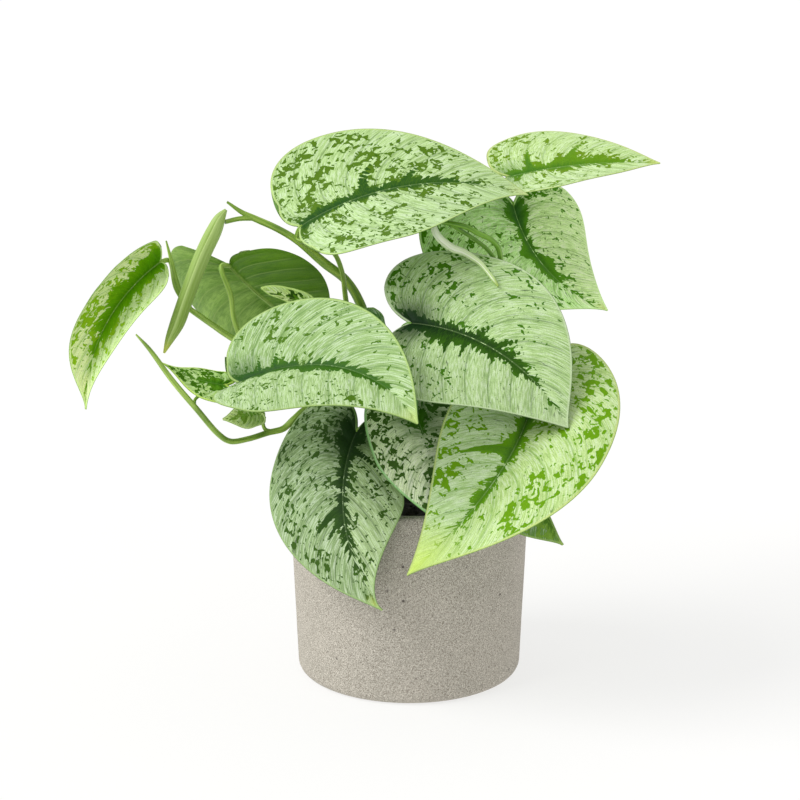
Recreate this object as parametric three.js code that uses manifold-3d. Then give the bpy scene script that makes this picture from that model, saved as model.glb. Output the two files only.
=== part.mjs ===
// Satin pothos in a round concrete pot.
// Millimetres, +Z up, origin at the middle of the pot's foot, front of the plant towards -Y.
import * as THREE from 'three';
import Module from 'manifold-3d';
import { mergeVertices } from 'three/addons/utils/BufferGeometryUtils.js';

const wasm = await Module();
wasm.setup();

// ---------------------------------------------------------------------------------------------
// Driving dimensions

const GAP = 0.3;               // clearance between pieces that touch

const POT = {
  height: 96,
  topRadius: 60,
  footRadius: 56.5,
  wall: 5,
  floor: 8,
  footRound: 4,
  rimRound: 1.5,
  sides: 40,
};

const SOIL = {
  level: 87,
  mound: 2.5,                  // how much higher the middle is than the edge
  lump: 1.1,
  rings: 6,
};

const HOLE = {
  floor: 62,                   // how deep the stems stand in the soil
  slack: 0.45,
  sides: 14,
};

const BLADE = {
  thickness: 0.9,
  rows: 12,
  columns: 8,
  smallRows: 9,
  smallColumns: 6,
  lobeInset: 0.42,             // where a lobe is lowest, as a share of the half width
  lobeRows: 0.42,              // the share of the rows that lie round the lobes
  tipHalfWidth: 0.5,
  veinStart: 1.35,             // above 1 the side veins leave the midrib closer to the base
  veinBow: 0.14,
  backReach: 0.3,              // how far the midrib's frame goes on below the base
  bendSteps: 26,
};

const STEM = {
  sides: 8,
  stepPerRadius: 5,
  leastSteps: 3,
  frameSteps: 200,
  endRound: 0.6,               // how far from its end a strand begins to narrow, in radii
  endShare: 0.6,               // how much of the radius is left at the very end
};

const PETIOLE = {
  radius: 1.2,
  seat: { back: 0.9, below: 1.3 },   // from the leaf's base, along and square to its blade
  knee: { back: 4, below: 5 },
  footRise: 4,                 // how far above the soil a stem's foot stays straight
};

// Each leaf: the petiole point, the way the blade sets off (heading about Z from +X, pitch above the
// horizontal, roll about its own length), its flat size, and how it bends along its length (droop down,
// sickle sideways, twist about its length) and across it (fold at the midrib, curl towards the margin).
// Pairs give the left half first: its width, how far its lobe hangs below the base, where it is widest as
// a share of the length, and how full it stays towards the tip. Angles in degrees.
const LEAVES = [
  {
    name: 'leaf_crown', colour: 0xa9c993,
    base: [-53.5, 4, 224.5], heading: 15, pitch: 31, roll: 15,
    length: 118, halfWidths: [54.5, 51.5], lobe: [1.5, 2.5],
    widest: [0.21, 0.34], fullness: [0.28, 0.11],
    droop: 43, sickle: 26, twist: 2, fold: [5, -7], curl: [19, 13],
  },
  {
    name: 'leaf_far_right', colour: 0xb4d295,
    base: [50.5, 49, 243.5], heading: -4, pitch: 14, roll: 31,
    length: 77, halfWidths: [39, 26.5], lobe: [9, 8],
    widest: [0.18, 0.31], fullness: [0.21, 0.16],
    droop: 15, sickle: 8, twist: -8, fold: [7, 4], curl: [-24, 21],
  },
  {
    name: 'leaf_right_back', colour: 0xabcb92,
    base: [53, 47, 230], heading: -53, pitch: -68, roll: 3,
    length: 77, halfWidths: [45, 59.5], lobe: [10, 15],
    widest: [0.19, 0.27], fullness: [0.37, 0.06],
    droop: -48, sickle: -29, twist: -16, fold: [10, 3], curl: [-26, -26],
  },
  {
    name: 'leaf_centre', colour: 0xb2cca6,
    base: [-0.5, -30, 183.5], heading: -18, pitch: 0, roll: 32,
    length: 96, halfWidths: [48, 51], lobe: [14, 12],
    widest: [0.3, 0.24], fullness: [0.11, 0.41],
    droop: 38, sickle: 42, twist: -7, fold: [21, -7], curl: [-20, 20],
  },
  {
    name: 'leaf_left', colour: 0xacc9a0,
    base: [-80.5, -44.5, 157.5], heading: -5, pitch: 27, roll: 4,
    length: 108, halfWidths: [37, 55.5], lobe: [3.5, 8.5],
    widest: [0.24, 0.26], fullness: [0.2, 0.29],
    droop: 47, sickle: 66, twist: 15, fold: [30, 14], curl: [11, -20],
  },
  {
    name: 'leaf_front_left', colour: 0x86a784,
    base: [-25, -34, 132.5], heading: -121, pitch: -43, roll: 15,
    length: 93, halfWidths: [30, 46.5], lobe: [15.5, 16],
    widest: [0.43, 0.25], fullness: [-0.13, 0.17],
    droop: 59, sickle: -28, twist: 8, fold: [-9, 15], curl: [-51, -20],
  },
  {
    name: 'leaf_front_right', colour: 0xb9d77f,
    base: [57.5, -46, 149.5], heading: -106, pitch: -39, roll: -19,
    length: 106.5, halfWidths: [44.5, 35.5], lobe: [32, 32],
    widest: [0.26, 0.22], fullness: [0.25, 0.26],
    droop: 37, sickle: 53, twist: 38, fold: [33, 16], curl: [-32, -14],
  },
  {
    name: 'leaf_front_middle', colour: 0x83a380,
    base: [3, -44, 142], heading: -60, pitch: -47, roll: 2,
    length: 62, halfWidths: [34, 29], lobe: [16, 16.5],
    widest: [0.26, 0.29], fullness: [0.14, 0.09],
    droop: 26, sickle: -3, twist: -7, fold: [2, 3], curl: [-9, -11],
  },
  {
    name: 'leaf_outer_left', colour: 0x8fc069,
    base: [-122, 10, 206.5], heading: -156, pitch: -32, roll: -45,
    length: 86.5, halfWidths: [24, 27], lobe: [-2.5, 2.5],
    widest: [0.34, 0.31], fullness: [0.2, 0],
    droop: 50, sickle: -32, twist: 13, fold: [25, 58], curl: [10, 69],
  },
  {
    name: 'leaf_underside', colour: 0x6fa351,
    base: [-89, 17, 203.5], heading: 34, pitch: -48, roll: -23,
    length: 71.5, halfWidths: [52, 39.5], lobe: [17, 7],
    widest: [0.31, 0.16], fullness: [0.33, 0.54],
    droop: -26, sickle: -3, twist: -25, fold: [-13, -9], curl: [47, 27],
  },
  {
    name: 'leaf_vine_small', colour: 0x7fb160, small: true,
    base: [-87.5, -33, 154], heading: 189, pitch: 8, roll: -17,
    length: 32.5, halfWidths: [14.5, 15], lobe: [4.5, 5.5],
    widest: [0.3, 0.24], fullness: [0.08, 0.13],
    droop: -28, sickle: 3, twist: 13, fold: [-1, 1], curl: [-23, -6],
  },
  {
    name: 'leaf_right_small', colour: 0x84b455, small: true,
    base: [58, -44, 106], heading: -50, pitch: -52, roll: 40,
    length: 31.5, halfWidths: [2.5, 19], lobe: [4, 4],
    widest: [0.25, 0.26], fullness: [0.09, 0.1],
    droop: 34, sickle: -9, twist: 5, fold: [-3, -2], curl: [-15, -12],
  },
  {
    name: 'leaf_shoulder', colour: 0x5d8a45,
    base: [-20, -12, 172], heading: 162, pitch: -27, roll: 246,
    length: 36, halfWidths: [22, 20], lobe: [21, 21],
    widest: [0.26, 0.26], fullness: [0.14, 0.14],
    droop: -22, sickle: -35, twist: 1, fold: [3, 2], curl: [15, 14],
  },
  {
    name: 'leaf_curled_small', colour: 0xc9d9b4, small: true,
    base: [-72, -24, 138.4], heading: 184, pitch: -12, roll: -58,
    length: 18.5, halfWidths: [9.5, 7], lobe: [2, 2],
    widest: [0.26, 0.26], fullness: [0.14, 0.14],
    droop: -10, sickle: 0, twist: 0, fold: [12, 10], curl: [28, 10],
  },
  {
    name: 'leaf_sliver', colour: 0x9cbf78, small: true,
    base: [-47, -10, 189], heading: 180, pitch: 14, roll: -40,
    length: 26, halfWidths: [5, 5], lobe: [1, 1], widest: [0.4, 0.4], fullness: [0.7, 0.7],
    droop: -10, sickle: 0, twist: 0, fold: [15, 15], curl: [10, 10],
  },
];

// The rolled pieces, the youngest leaf and the dry sheath of an older one: the route of each from end to
// end with the roll's radius at each point. The overlap is how much the free edge stands proud of the
// turn below it.
const ROLLS = [
  {
    name: 'leaf_rolled', colour: 0xa5c583, sides: 14, overlap: 0.22,
    route: [
      [-89, 2, 233, 0.9], [-92, 1.5, 229, 3.1], [-95, 1, 223, 4.3], [-100.5, 0, 212, 4.5], [-105.5, -2, 200, 4.4],
      [-110, -4, 188, 4.3], [-113.5, -6, 178.5, 4.1], [-117, -7.5, 171, 2.6], [-119.8, -8.5, 164.2, 0.6],
    ],
  },
  {
    name: 'sheath_pale', colour: 0xe0e3d0, sides: 9, overlap: 0.25,
    route: [
      [11.5, -7, 227.2, 1.4], [12, -7.5, 224.5, 1.9], [13.5, -8, 221.5, 2.1], [16.5, -8, 218.5, 2.2],
      [21, -8.5, 215.5, 2.2], [25.5, -9, 214, 2], [29.5, -11, 212, 1.8], [33.5, -14, 209.5, 1.5],
      [37, -18, 206, 1.3], [40, -22, 202.5, 1.2], [42, -24.5, 200, 0.5],
    ],
  },
];

// Each stem: where it stands in the soil, and its strands, each a route of points with the radius at each.
// A strand that names a leaf is its petiole: it begins under that leaf's base.
const STEMS = [
  {
    name: 'stem_vine_upper', colour: 0x4f8a35, foot: [-10, 12], footRadius: 3.2,
    strands: [
      { route: [[-10, 12, 95, 3.1], [-14, 11, 130, 2.9], [-19, 9, 165, 2.6], [-24, 8, 185, 2.4],
        [-31, 8, 197, 2.3], [-42, 8, 206, 2.4], [-55, 8, 217, 1.9], [-65, 8, 223, 1.7], [-76, 8, 228, 1.6],
        [-82, 8, 231, 1.2], [-89, 8, 236, 0.6]] },
      { route: [[-76, 8, 228, 1.3], [-83, 6, 228, 1.2], [-89.6, 2.6, 226.9, 1.1]] },
      { leaf: 'leaf_crown', seat: { back: 0.6, below: 1.1 }, route: [[-44, -2, 217, 1.2], [-37, -3, 213, 1.2], [-33, -2, 204, 1.2],
        [-31, 1, 188, 1.3], [-27, 5, 165, 1.5], [-14, 11, 138, 1.8]] },
      { leaf: 'leaf_sliver', seat: { back: 0, below: 1.1 }, route: [[-37, -2, 180, 0.9], [-26, 6, 160, 1.2]] },
      { leaf: 'leaf_shoulder', route: [[-17, 2, 160, 1.1], [-14, 11, 140, 1.5]] },
    ],
  },
  {
    name: 'stem_left_back', colour: 0x5b9440, foot: [-24, 8], footRadius: 2.8,
    strands: [
      { route: [[-24, 8, 95, 2.7], [-34, 8, 125, 2.4], [-55, 7, 148, 2.1], [-75, 5, 162, 1.8],
        [-88, 5, 169, 1.6], [-98, 5, 176, 1.5], [-108, 6, 183, 1.4]] },
      { leaf: 'leaf_outer_left', seat: { back: 0.5, below: 0.9 }, route: [[-115, 9, 193, 1.3], [-108, 6, 183, 1.4]] },
      { route: [[-108, 6, 183, 1.2], [-113, 9, 191, 1.1], [-118, 13, 208, 0.9], [-120, 14, 216, 0.4]] },
      { leaf: 'leaf_underside', route: [[-88, 6, 190, 1.3], [-86.5, 4, 179, 1.3], [-83, 5, 167, 1.5]] },
    ],
  },
  {
    name: 'stem_lower', colour: 0x6b9f3f, foot: [-10, -6], footRadius: 3.2,
    strands: [
      { route: [[-10, -6, 95, 3.0], [-20, -2, 112, 2.5], [-36, 2, 128, 2.1], [-50, 0, 134, 1.8],
        [-57, -5, 130, 1.7], [-62, -8, 126, 1.6], [-69, -14, 125.5, 1.5], [-78, -26, 125.5, 1.4], [-86, -36, 127, 1.4],
        [-91, -41, 132, 1.4], [-100, -46, 145, 1.4], [-111, -49, 160, 1.3], [-121, -50, 175, 1.0],
        [-127, -50, 182, 0.4]] },
      { leaf: 'leaf_vine_small', route: [[-97, -33, 150, 0.8], [-102, -36.5, 147.5, 0.8], [-101, -41, 144, 0.9],
        [-98, -44.5, 142, 1.0]] },
      { leaf: 'leaf_curled_small', seat: { back: 0.2, below: 1 }, knee: { back: 1, below: 3.5 },
        route: [[-71.5, -17, 131, 0.9], [-70.5, -15.5, 127.5, 1.0], [-67.5, -12.5, 125.5, 1.2]] },
      { leaf: 'leaf_left', route: [[-76, -26, 151, 1.3], [-63, -6, 146, 1.4], [-42, 3, 134, 1.6],
        [-22, -2, 114, 2.0]] },
      { leaf: 'leaf_front_left', route: [[-20, -18, 128, 1.4], [-14, -9, 110, 1.7], [-12, -5.5, 98, 2.0]] },
      { leaf: 'leaf_front_middle', route: [[2, -26, 140, 1.3], [-4, -13, 122, 1.5], [-9, -8, 106, 1.8],
        [-11, -6, 97, 2.0]] },
    ],
  },
  {
    name: 'stem_right', colour: 0x4a8330, foot: [14, 2], footRadius: 3.4,
    strands: [
      { route: [[14, 2, 95, 3.3], [17, 2, 125, 3.0], [23, -1, 155, 2.6], [33, -8, 181, 2.1], [40.5, -6, 196, 1.6],
        [44, -3.5, 207, 1.3], [43, -5, 215, 1.3], [39, -8, 220, 1.3], [33, -9, 223, 1.3], [27, -8, 226, 1.3],
        [18, -7, 227.8, 1.2], [12, -5, 228.5, 1.1]] },
      { route: [[20, -7, 227, 1.0], [27, -4, 222.3, 1.0], [33, -3.5, 218.2, 1.0], [38, -3.5, 214, 1.0],
        [43.5, -3.5, 206, 1.0]] },
      { leaf: 'leaf_centre', route: [[6, -18, 166, 1.4], [14, -4, 145, 1.8], [17, 3, 128, 2.0]] },
      { leaf: 'leaf_front_right', route: [[46, -28, 148, 1.4], [34, -12, 134, 1.6], [17, 2, 116, 2.0]] },
      { leaf: 'leaf_right_back', route: [[48, 54, 214, 1.3], [40, 44, 186, 1.4], [30, 24, 162, 1.6],
        [19.5, 2, 138, 1.8]] },
      { leaf: 'leaf_far_right', route: [[45, 62, 234, 1.2], [43, 70, 212, 1.3], [35, 58, 178, 1.5],
        [18, 2.5, 130, 1.8]] },
      { leaf: 'leaf_right_small', route: [[50, -32, 111, 0.9], [34, -16, 110, 1.1], [15, 1, 100, 1.4]] },
    ],
  },
];

// ---------------------------------------------------------------------------------------------
// Small helpers

const rad = THREE.MathUtils.degToRad;
const lerp = THREE.MathUtils.lerp;

/** A standard material for a plain-coloured piece. */
function finish(colour, roughness) {
  return new THREE.MeshStandardMaterial({ color: colour, roughness, metalness: 0 });
}

/** A named mesh. */
function piece(name, geometry, colour, roughness) {
  const mesh = new THREE.Mesh(geometry, finish(colour, roughness));
  mesh.name = name;
  return mesh;
}

/** Geometry with only positions, and its shared vertices merged. */
function welded(geometry) {
  const bare = geometry.clone();
  bare.deleteAttribute('normal');
  bare.deleteAttribute('uv');
  return mergeVertices(bare, 1e-4);
}

/** A manifold solid of a closed geometry. */
function solidOf(geometry) {
  const mesh = welded(geometry);
  return new wasm.Manifold(new wasm.Mesh({
    numProp: 3,
    vertProperties: new Float32Array(mesh.attributes.position.array),
    triVerts: new Uint32Array(mesh.index.array),
  }));
}

/** The geometry of a manifold solid. */
function geometryOf(solid) {
  const mesh = solid.getMesh();
  const geometry = new THREE.BufferGeometry();
  geometry.setAttribute('position', new THREE.BufferAttribute(mesh.vertProperties, 3));
  geometry.setIndex(new THREE.BufferAttribute(mesh.triVerts, 1));
  return geometry;
}

/** A geometry from plain lists of points and triangles. */
function meshOf(points, triangles) {
  const geometry = new THREE.BufferGeometry();
  geometry.setAttribute('position', new THREE.Float32BufferAttribute(points.flatMap((p) => p.toArray()), 3));
  geometry.setIndex(triangles.flat());
  return geometry;
}

/** Points of a round corner in a lathe profile. */
function corner(radius, height, round, from, to, steps) {
  return Array.from({ length: steps + 1 }, (_, i) => {
    const angle = rad(lerp(from, to, i / steps));
    return new THREE.Vector2(radius + round * Math.cos(angle), height + round * Math.sin(angle));
  });
}

// ---------------------------------------------------------------------------------------------
// The pot and the soil

/** The radius of the pot's inside at a height. */
function innerRadius(height) {
  return lerp(POT.footRadius, POT.topRadius, height / POT.height) - POT.wall;
}

/** The pot: a wall with a rounded foot and rim, and a floor. */
function potGeometry() {
  const { height, topRadius, footRadius, footRound, rimRound, floor } = POT;
  const profile = [
    new THREE.Vector2(0, 0),
    ...corner(footRadius - footRound, footRound, footRound, -90, 0, 4),
    ...corner(topRadius - rimRound, height - rimRound, rimRound, 0, 90, 3),
    ...corner(innerRadius(height) + rimRound, height - rimRound, rimRound, 90, 180, 3),
    new THREE.Vector2(innerRadius(floor), floor),
    new THREE.Vector2(0, floor),
  ];
  return welded(new THREE.LatheGeometry(profile, POT.sides)).rotateX(Math.PI / 2);
}

/** The height of the soil over a point: a low mound with lumps. */
function soilHeight(x, y) {
  const reach = Math.hypot(x, y) / innerRadius(SOIL.level);
  const lumps = Math.sin(0.31 * x + 1.1) * Math.cos(0.27 * y) + 0.6 * Math.sin(0.53 * (x - y) + 0.4);
  return SOIL.level + SOIL.mound * (1 - reach * reach) + SOIL.lump * lumps * Math.max(0, 1 - reach ** 4);
}

/** The soil: it fills the pot, lumpy on top, with a plain hole for each stem. */
function soilGeometry() {
  const bottom = POT.floor + GAP;
  const edge = innerRadius(SOIL.level) - GAP;
  const profile = [
    new THREE.Vector2(0, bottom),
    new THREE.Vector2(innerRadius(bottom) - GAP, bottom),
    ...Array.from({ length: SOIL.rings + 1 }, (_, i) => new THREE.Vector2(edge * (1 - i / SOIL.rings), SOIL.level)),
  ];
  const lump = welded(new THREE.LatheGeometry(profile, POT.sides)).rotateX(Math.PI / 2);
  const position = lump.attributes.position;
  for (let i = 0; i < position.count; i += 1) {
    if (position.getZ(i) > SOIL.level - 1) {
      position.setZ(i, soilHeight(position.getX(i), position.getY(i)));
    }
  }
  let soil = solidOf(lump);
  for (const stem of STEMS) {
    const radius = stem.footRadius + HOLE.slack;
    const depth = POT.height - HOLE.floor;
    const hole = new THREE.CylinderGeometry(radius, radius, depth, HOLE.sides).rotateX(Math.PI / 2)
      .translate(stem.foot[0], stem.foot[1], HOLE.floor + depth / 2);
    soil = soil.subtract(solidOf(hole));
  }
  return geometryOf(soil);
}

// ---------------------------------------------------------------------------------------------
// A leaf blade

/** A number on a cubic Bezier curve. */
function bezier(a, b, c, d, t) {
  const u = 1 - t;
  return u * u * u * a + 3 * u * u * t * b + 3 * u * t * t * c + t * t * t * d;
}

/** The flat margin of one half: t is 0 at the end of the lobe and 1 at the tip. */
function marginPoint(leaf, side, t) {
  const { length } = leaf;
  const halfWidth = leaf.halfWidths[side];
  const lobe = leaf.lobe[side];
  const widest = leaf.widest[side] * length;
  const inset = BLADE.lobeInset * halfWidth;
  if (t <= BLADE.lobeRows) {
    const k = t / BLADE.lobeRows;
    return [
      bezier(inset, lerp(inset, halfWidth, 0.6), halfWidth, halfWidth, k),
      bezier(-lobe, -lobe, lerp(-lobe, widest, 0.42), widest, k),
    ];
  }
  const k = (t - BLADE.lobeRows) / (1 - BLADE.lobeRows);
  return [
    bezier(halfWidth, halfWidth, leaf.fullness[side] * halfWidth, BLADE.tipHalfWidth, k),
    bezier(widest, lerp(widest, length, 0.4), lerp(widest, length, 0.78), length, k),
  ];
}

/** A point of the flat blade: t along the side veins' feet, s across, -1 left margin to 1 right margin. */
function flatPoint(leaf, t, s) {
  const side = s < 0 ? 0 : 1;
  const reach = Math.abs(s);
  const margin = marginPoint(leaf, side, t);
  const foot = leaf.length * t ** BLADE.veinStart;
  const across = margin[0];
  const along = margin[1] - foot;
  const bow = BLADE.veinBow * (1 - t) * 4 * reach * (1 - reach);
  const x = across * reach + along * bow;
  return [side === 0 ? -x : x, foot + along * reach - across * bow];
}

/** The frame of the midrib and its points, from below the base to the tip. */
function bendOf(leaf) {
  const h = rad(leaf.heading);
  const p = rad(leaf.pitch);
  const forward = new THREE.Vector3(Math.cos(p) * Math.cos(h), Math.cos(p) * Math.sin(h), Math.sin(p));
  const up = new THREE.Vector3(-Math.sin(p) * Math.cos(h), -Math.sin(p) * Math.sin(h), Math.cos(p));
  const right = new THREE.Vector3().crossVectors(forward, up);
  const start = new THREE.Quaternion()
    .setFromRotationMatrix(new THREE.Matrix4().makeBasis(right, forward, up))
    .multiply(new THREE.Quaternion().setFromAxisAngle(new THREE.Vector3(0, 1, 0), rad(leaf.roll)));
  const turn = new THREE.Vector3(rad(-leaf.droop), rad(leaf.twist), rad(-leaf.sickle));
  const angle = turn.length();
  const axis = turn.clone().normalize();
  const frameAt = (u) => start.clone()
    .multiply(new THREE.Quaternion().setFromAxisAngle(axis, angle * u));
  const step = (1 + BLADE.backReach) / BLADE.bendSteps;
  const points = [new THREE.Vector3()];
  for (let i = 0; i < BLADE.bendSteps; i += 1) {
    const u = -BLADE.backReach + i * step;
    const a = new THREE.Vector3(0, 1, 0).applyQuaternion(frameAt(u));
    const b = new THREE.Vector3(0, 1, 0).applyQuaternion(frameAt(u + step));
    points.push(points[i].clone().addScaledVector(a.add(b), step * leaf.length / 2));
  }
  const baseIndex = Math.round(BLADE.backReach / step);
  const shift = new THREE.Vector3(...leaf.base).sub(points[baseIndex]);
  points.forEach((point) => point.add(shift));
  const pointAt = (u) => {
    const place = THREE.MathUtils.clamp((u + BLADE.backReach) / step, 0, BLADE.bendSteps - 1e-6);
    const i = Math.floor(place);
    return points[i].clone().lerp(points[i + 1], place - i);
  };
  return { frameAt, pointAt };
}

/** A point of the bent blade for a point of the flat one. */
function bentPoint(leaf, bend, x, y) {
  const side = x < 0 ? 0 : 1;
  const width = Math.abs(x);
  const u = y / leaf.length;
  const start = rad(leaf.fold[side]);
  const rate = rad(leaf.curl[side]) / leaf.halfWidths[side];
  const end = start + rate * width;
  const out = Math.abs(rate) > 1e-7 ? (Math.sin(end) - Math.sin(start)) / rate : width * Math.cos(start);
  const rise = Math.abs(rate) > 1e-7 ? (Math.cos(start) - Math.cos(end)) / rate : width * Math.sin(start);
  return new THREE.Vector3(side === 0 ? -out : out, 0, rise)
    .applyQuaternion(bend.frameAt(u)).add(bend.pointAt(u));
}

/** The surface normal of the bent blade. */
function bentNormal(leaf, bend, x, y) {
  const h = 0.4;
  const across = bentPoint(leaf, bend, x + h, y).sub(bentPoint(leaf, bend, x - h, y));
  const along = bentPoint(leaf, bend, x, y + h).sub(bentPoint(leaf, bend, x, y - h));
  return across.cross(along).normalize();
}

/** A closed blade: two faces split into triangles alike, and an edge all round. */
function bladeGeometry(leaf) {
  const rows = leaf.small ? BLADE.smallRows : BLADE.rows;
  const columns = leaf.small ? BLADE.smallColumns : BLADE.columns;
  const bend = bendOf(leaf);
  const points = [];
  for (const face of [1, -1]) {
    for (let r = 0; r <= rows; r += 1) {
      for (let c = 0; c <= columns; c += 1) {
        const [x, y] = flatPoint(leaf, r / rows, 2 * c / columns - 1);
        const normal = bentNormal(leaf, bend, x, y);
        points.push(bentPoint(leaf, bend, x, y).addScaledVector(normal, face * BLADE.thickness / 2));
      }
    }
  }
  const lower = (rows + 1) * (columns + 1);
  const at = (r, c) => r * (columns + 1) + c;
  const triangles = [];
  for (let r = 0; r < rows; r += 1) {
    for (let c = 0; c < columns; c += 1) {
      const [p, q, m, n] = [at(r, c), at(r, c + 1), at(r + 1, c + 1), at(r + 1, c)];
      triangles.push([p, q, m], [p, m, n]);
      triangles.push([p + lower, m + lower, q + lower], [p + lower, n + lower, m + lower]);
    }
  }
  const rim = [
    ...Array.from({ length: columns }, (_, c) => at(0, c)),
    ...Array.from({ length: rows }, (_, r) => at(r, columns)),
    ...Array.from({ length: columns }, (_, c) => at(rows, columns - c)),
    ...Array.from({ length: rows }, (_, r) => at(rows - r, 0)),
  ];
  rim.forEach((p, i) => {
    const q = rim[(i + 1) % rim.length];
    triangles.push([p, p + lower, q + lower], [p, q + lower, q]);
  });
  return meshOf(points, triangles);
}

// ---------------------------------------------------------------------------------------------
// Stems

/** A ring of [angle, share of the radius] pairs for a round section. */
function roundSection(sides) {
  return Array.from({ length: sides }, (_, k) => [2 * Math.PI * k / sides, 1]);
}

/** A ring for a rolled-up sheet, whose free edge makes one step in the outline. */
function rolledSection(sides, overlap) {
  return Array.from({ length: sides + 1 }, (_, k) => [2 * Math.PI * k / sides, 1 - overlap * k / sides]);
}

/** A closed solid along a route of [x, y, z, radius] points, its ends rounded off. */
function sweepSolid(route, section) {
  const curve = new THREE.CatmullRomCurve3(route.map(([x, y, z]) => new THREE.Vector3(x, y, z)), false, 'centripetal');
  const length = curve.getLength();
  const meanRadius = route.reduce((sum, point) => sum + point[3], 0) / route.length;
  const steps = Math.max(STEM.leastSteps, Math.round(length / (STEM.stepPerRadius * meanRadius)));
  const round = STEM.endRound * meanRadius / length;
  const inner = Array.from({ length: steps - 1 }, (_, i) => (i + 1) / steps);
  const places = [0, round, ...inner, 1 - round, 1];
  const frames = curve.computeFrenetFrames(STEM.frameSteps, false);
  const radiusAt = (u) => {
    const place = curve.getUtoTmapping(u) * (route.length - 1);
    const i = Math.min(Math.floor(place), route.length - 2);
    return lerp(route[i][3], route[i + 1][3], place - i);
  };
  const points = places.flatMap((u) => {
    const centre = curve.getPointAt(u);
    const frame = Math.round(u * STEM.frameSteps);
    const radius = radiusAt(u) * (u === 0 || u === 1 ? STEM.endShare : 1);
    return section.map(([angle, share]) => centre.clone()
      .addScaledVector(frames.normals[frame], radius * share * Math.cos(angle))
      .addScaledVector(frames.binormals[frame], radius * share * Math.sin(angle)));
  });
  const sides = section.length;
  const triangles = [];
  for (let i = 0; i < places.length - 1; i += 1) {
    for (let k = 0; k < sides; k += 1) {
      const p = i * sides + k;
      const q = i * sides + (k + 1) % sides;
      triangles.push([p, q, q + sides], [p, q + sides, p + sides]);
    }
  }
  const last = (places.length - 1) * sides;
  for (let k = 1; k < sides - 1; k += 1) {
    triangles.push([0, k + 1, k], [last, last + k, last + k + 1]);
  }
  return solidOf(meshOf(points, triangles));
}

/** A round strand of a stem. */
function strandSolid(route) {
  return sweepSolid(route, roundSection(STEM.sides));
}

/** The two points where a petiole meets its leaf: the seat close under the base, and the knee behind it. */
function petioleStart({ leaf: leafName, route, seat = PETIOLE.seat, knee = PETIOLE.knee }) {
  const leaf = LEAVES.find(({ name }) => name === leafName);
  const frame = bendOf(leaf).frameAt(0);
  const radius = Math.min(PETIOLE.radius, route[0][3]);
  return [seat, knee].map(({ back, below }) => {
    const point = new THREE.Vector3(0, -back, -below).applyQuaternion(frame);
    return [...point.add(new THREE.Vector3(...leaf.base)).toArray(), radius];
  });
}

/** A stem: its foot in the soil and all its strands, grown together. */
function stemGeometry(stem) {
  const [x, y] = stem.foot;
  const foot = [HOLE.floor + GAP, SOIL.level + PETIOLE.footRise].map((z) => [x, y, z, stem.footRadius]);
  return geometryOf(stem.strands.map((strand, i) => {
    const start = i === 0 ? foot : [];
    return strandSolid([...(strand.leaf ? petioleStart(strand) : start), ...strand.route]);
  }).reduce((whole, strand) => whole.add(strand)));
}

/** A piece that is rolled up along its route. */
function rollGeometry({ route, sides, overlap }) {
  return geometryOf(sweepSolid(route, rolledSection(sides, overlap)));
}

// ---------------------------------------------------------------------------------------------
// The plant in its pot

const plant = new THREE.Group();
plant.add(piece('pot', potGeometry(), 0xa39c96, 0.9));
plant.add(piece('soil', soilGeometry(), 0x2e2620, 1));
for (const stem of STEMS) {
  plant.add(piece(stem.name, stemGeometry(stem), stem.colour, 0.5));
}
for (const leaf of LEAVES) {
  plant.add(piece(leaf.name, bladeGeometry(leaf), leaf.colour, 0.55));
}
for (const roll of ROLLS) {
  plant.add(piece(roll.name, rollGeometry(roll), roll.colour, 0.55));
}

export default plant;
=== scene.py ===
"""A satin pothos in a round concrete pot.

The plant's own measures are given in millimetres and degrees, and every mesh is made in metres.
"""

import logging
import math
from dataclasses import dataclass, field, replace
from enum import Enum
from typing import Callable, Optional, Sequence, Union

import bpy
import numpy as np
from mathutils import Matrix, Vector

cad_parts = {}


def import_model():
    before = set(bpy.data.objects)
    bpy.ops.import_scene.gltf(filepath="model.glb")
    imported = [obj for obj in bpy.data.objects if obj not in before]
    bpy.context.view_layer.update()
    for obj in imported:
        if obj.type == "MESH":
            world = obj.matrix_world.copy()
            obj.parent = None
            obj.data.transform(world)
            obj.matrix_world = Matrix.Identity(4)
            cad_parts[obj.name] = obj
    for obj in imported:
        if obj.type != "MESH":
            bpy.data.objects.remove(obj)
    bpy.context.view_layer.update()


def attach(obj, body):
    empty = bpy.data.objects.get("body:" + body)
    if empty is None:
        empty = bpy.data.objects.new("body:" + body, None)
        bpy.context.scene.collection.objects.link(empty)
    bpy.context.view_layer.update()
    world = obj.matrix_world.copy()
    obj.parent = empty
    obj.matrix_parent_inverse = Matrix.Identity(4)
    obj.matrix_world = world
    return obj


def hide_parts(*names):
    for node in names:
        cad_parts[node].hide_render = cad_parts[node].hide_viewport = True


log = logging.getLogger("pothos")

MM = 0.001
PER_METRE = 1000.0
TURN = 2 * math.pi
Array = np.ndarray
Point = tuple[float, float, float]
Colour = tuple[float, float, float]
Pair = tuple[float, float]
Route = tuple[tuple[float, float, float, float], ...]


# ------------------------------------------------------------------------------------------
# Node trees written as expressions


class Kind(Enum):
    """What a wire carries."""

    NUMBER = "number"
    VECTOR = "vector"
    COLOUR = "colour"


Value = Union["Wire", float, Sequence[float]]


def _operator(operation: str, reflected: bool = False) -> Callable[["Wire", Value], "Wire"]:
    """Makes the method for one of Python's operators.

    Args:
        operation: the operation's name in the Math, Vector Math and Mix nodes.
        reflected: whether the wire stands on the operator's right.

    Returns:
        A method that adds the operation's node.
    """
    def join(wire: "Wire", other: Value) -> "Wire":
        """Joins the wire and another value."""
        return wire.graph.join(operation, *((other, wire) if reflected else (wire, other)))

    return join


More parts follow.
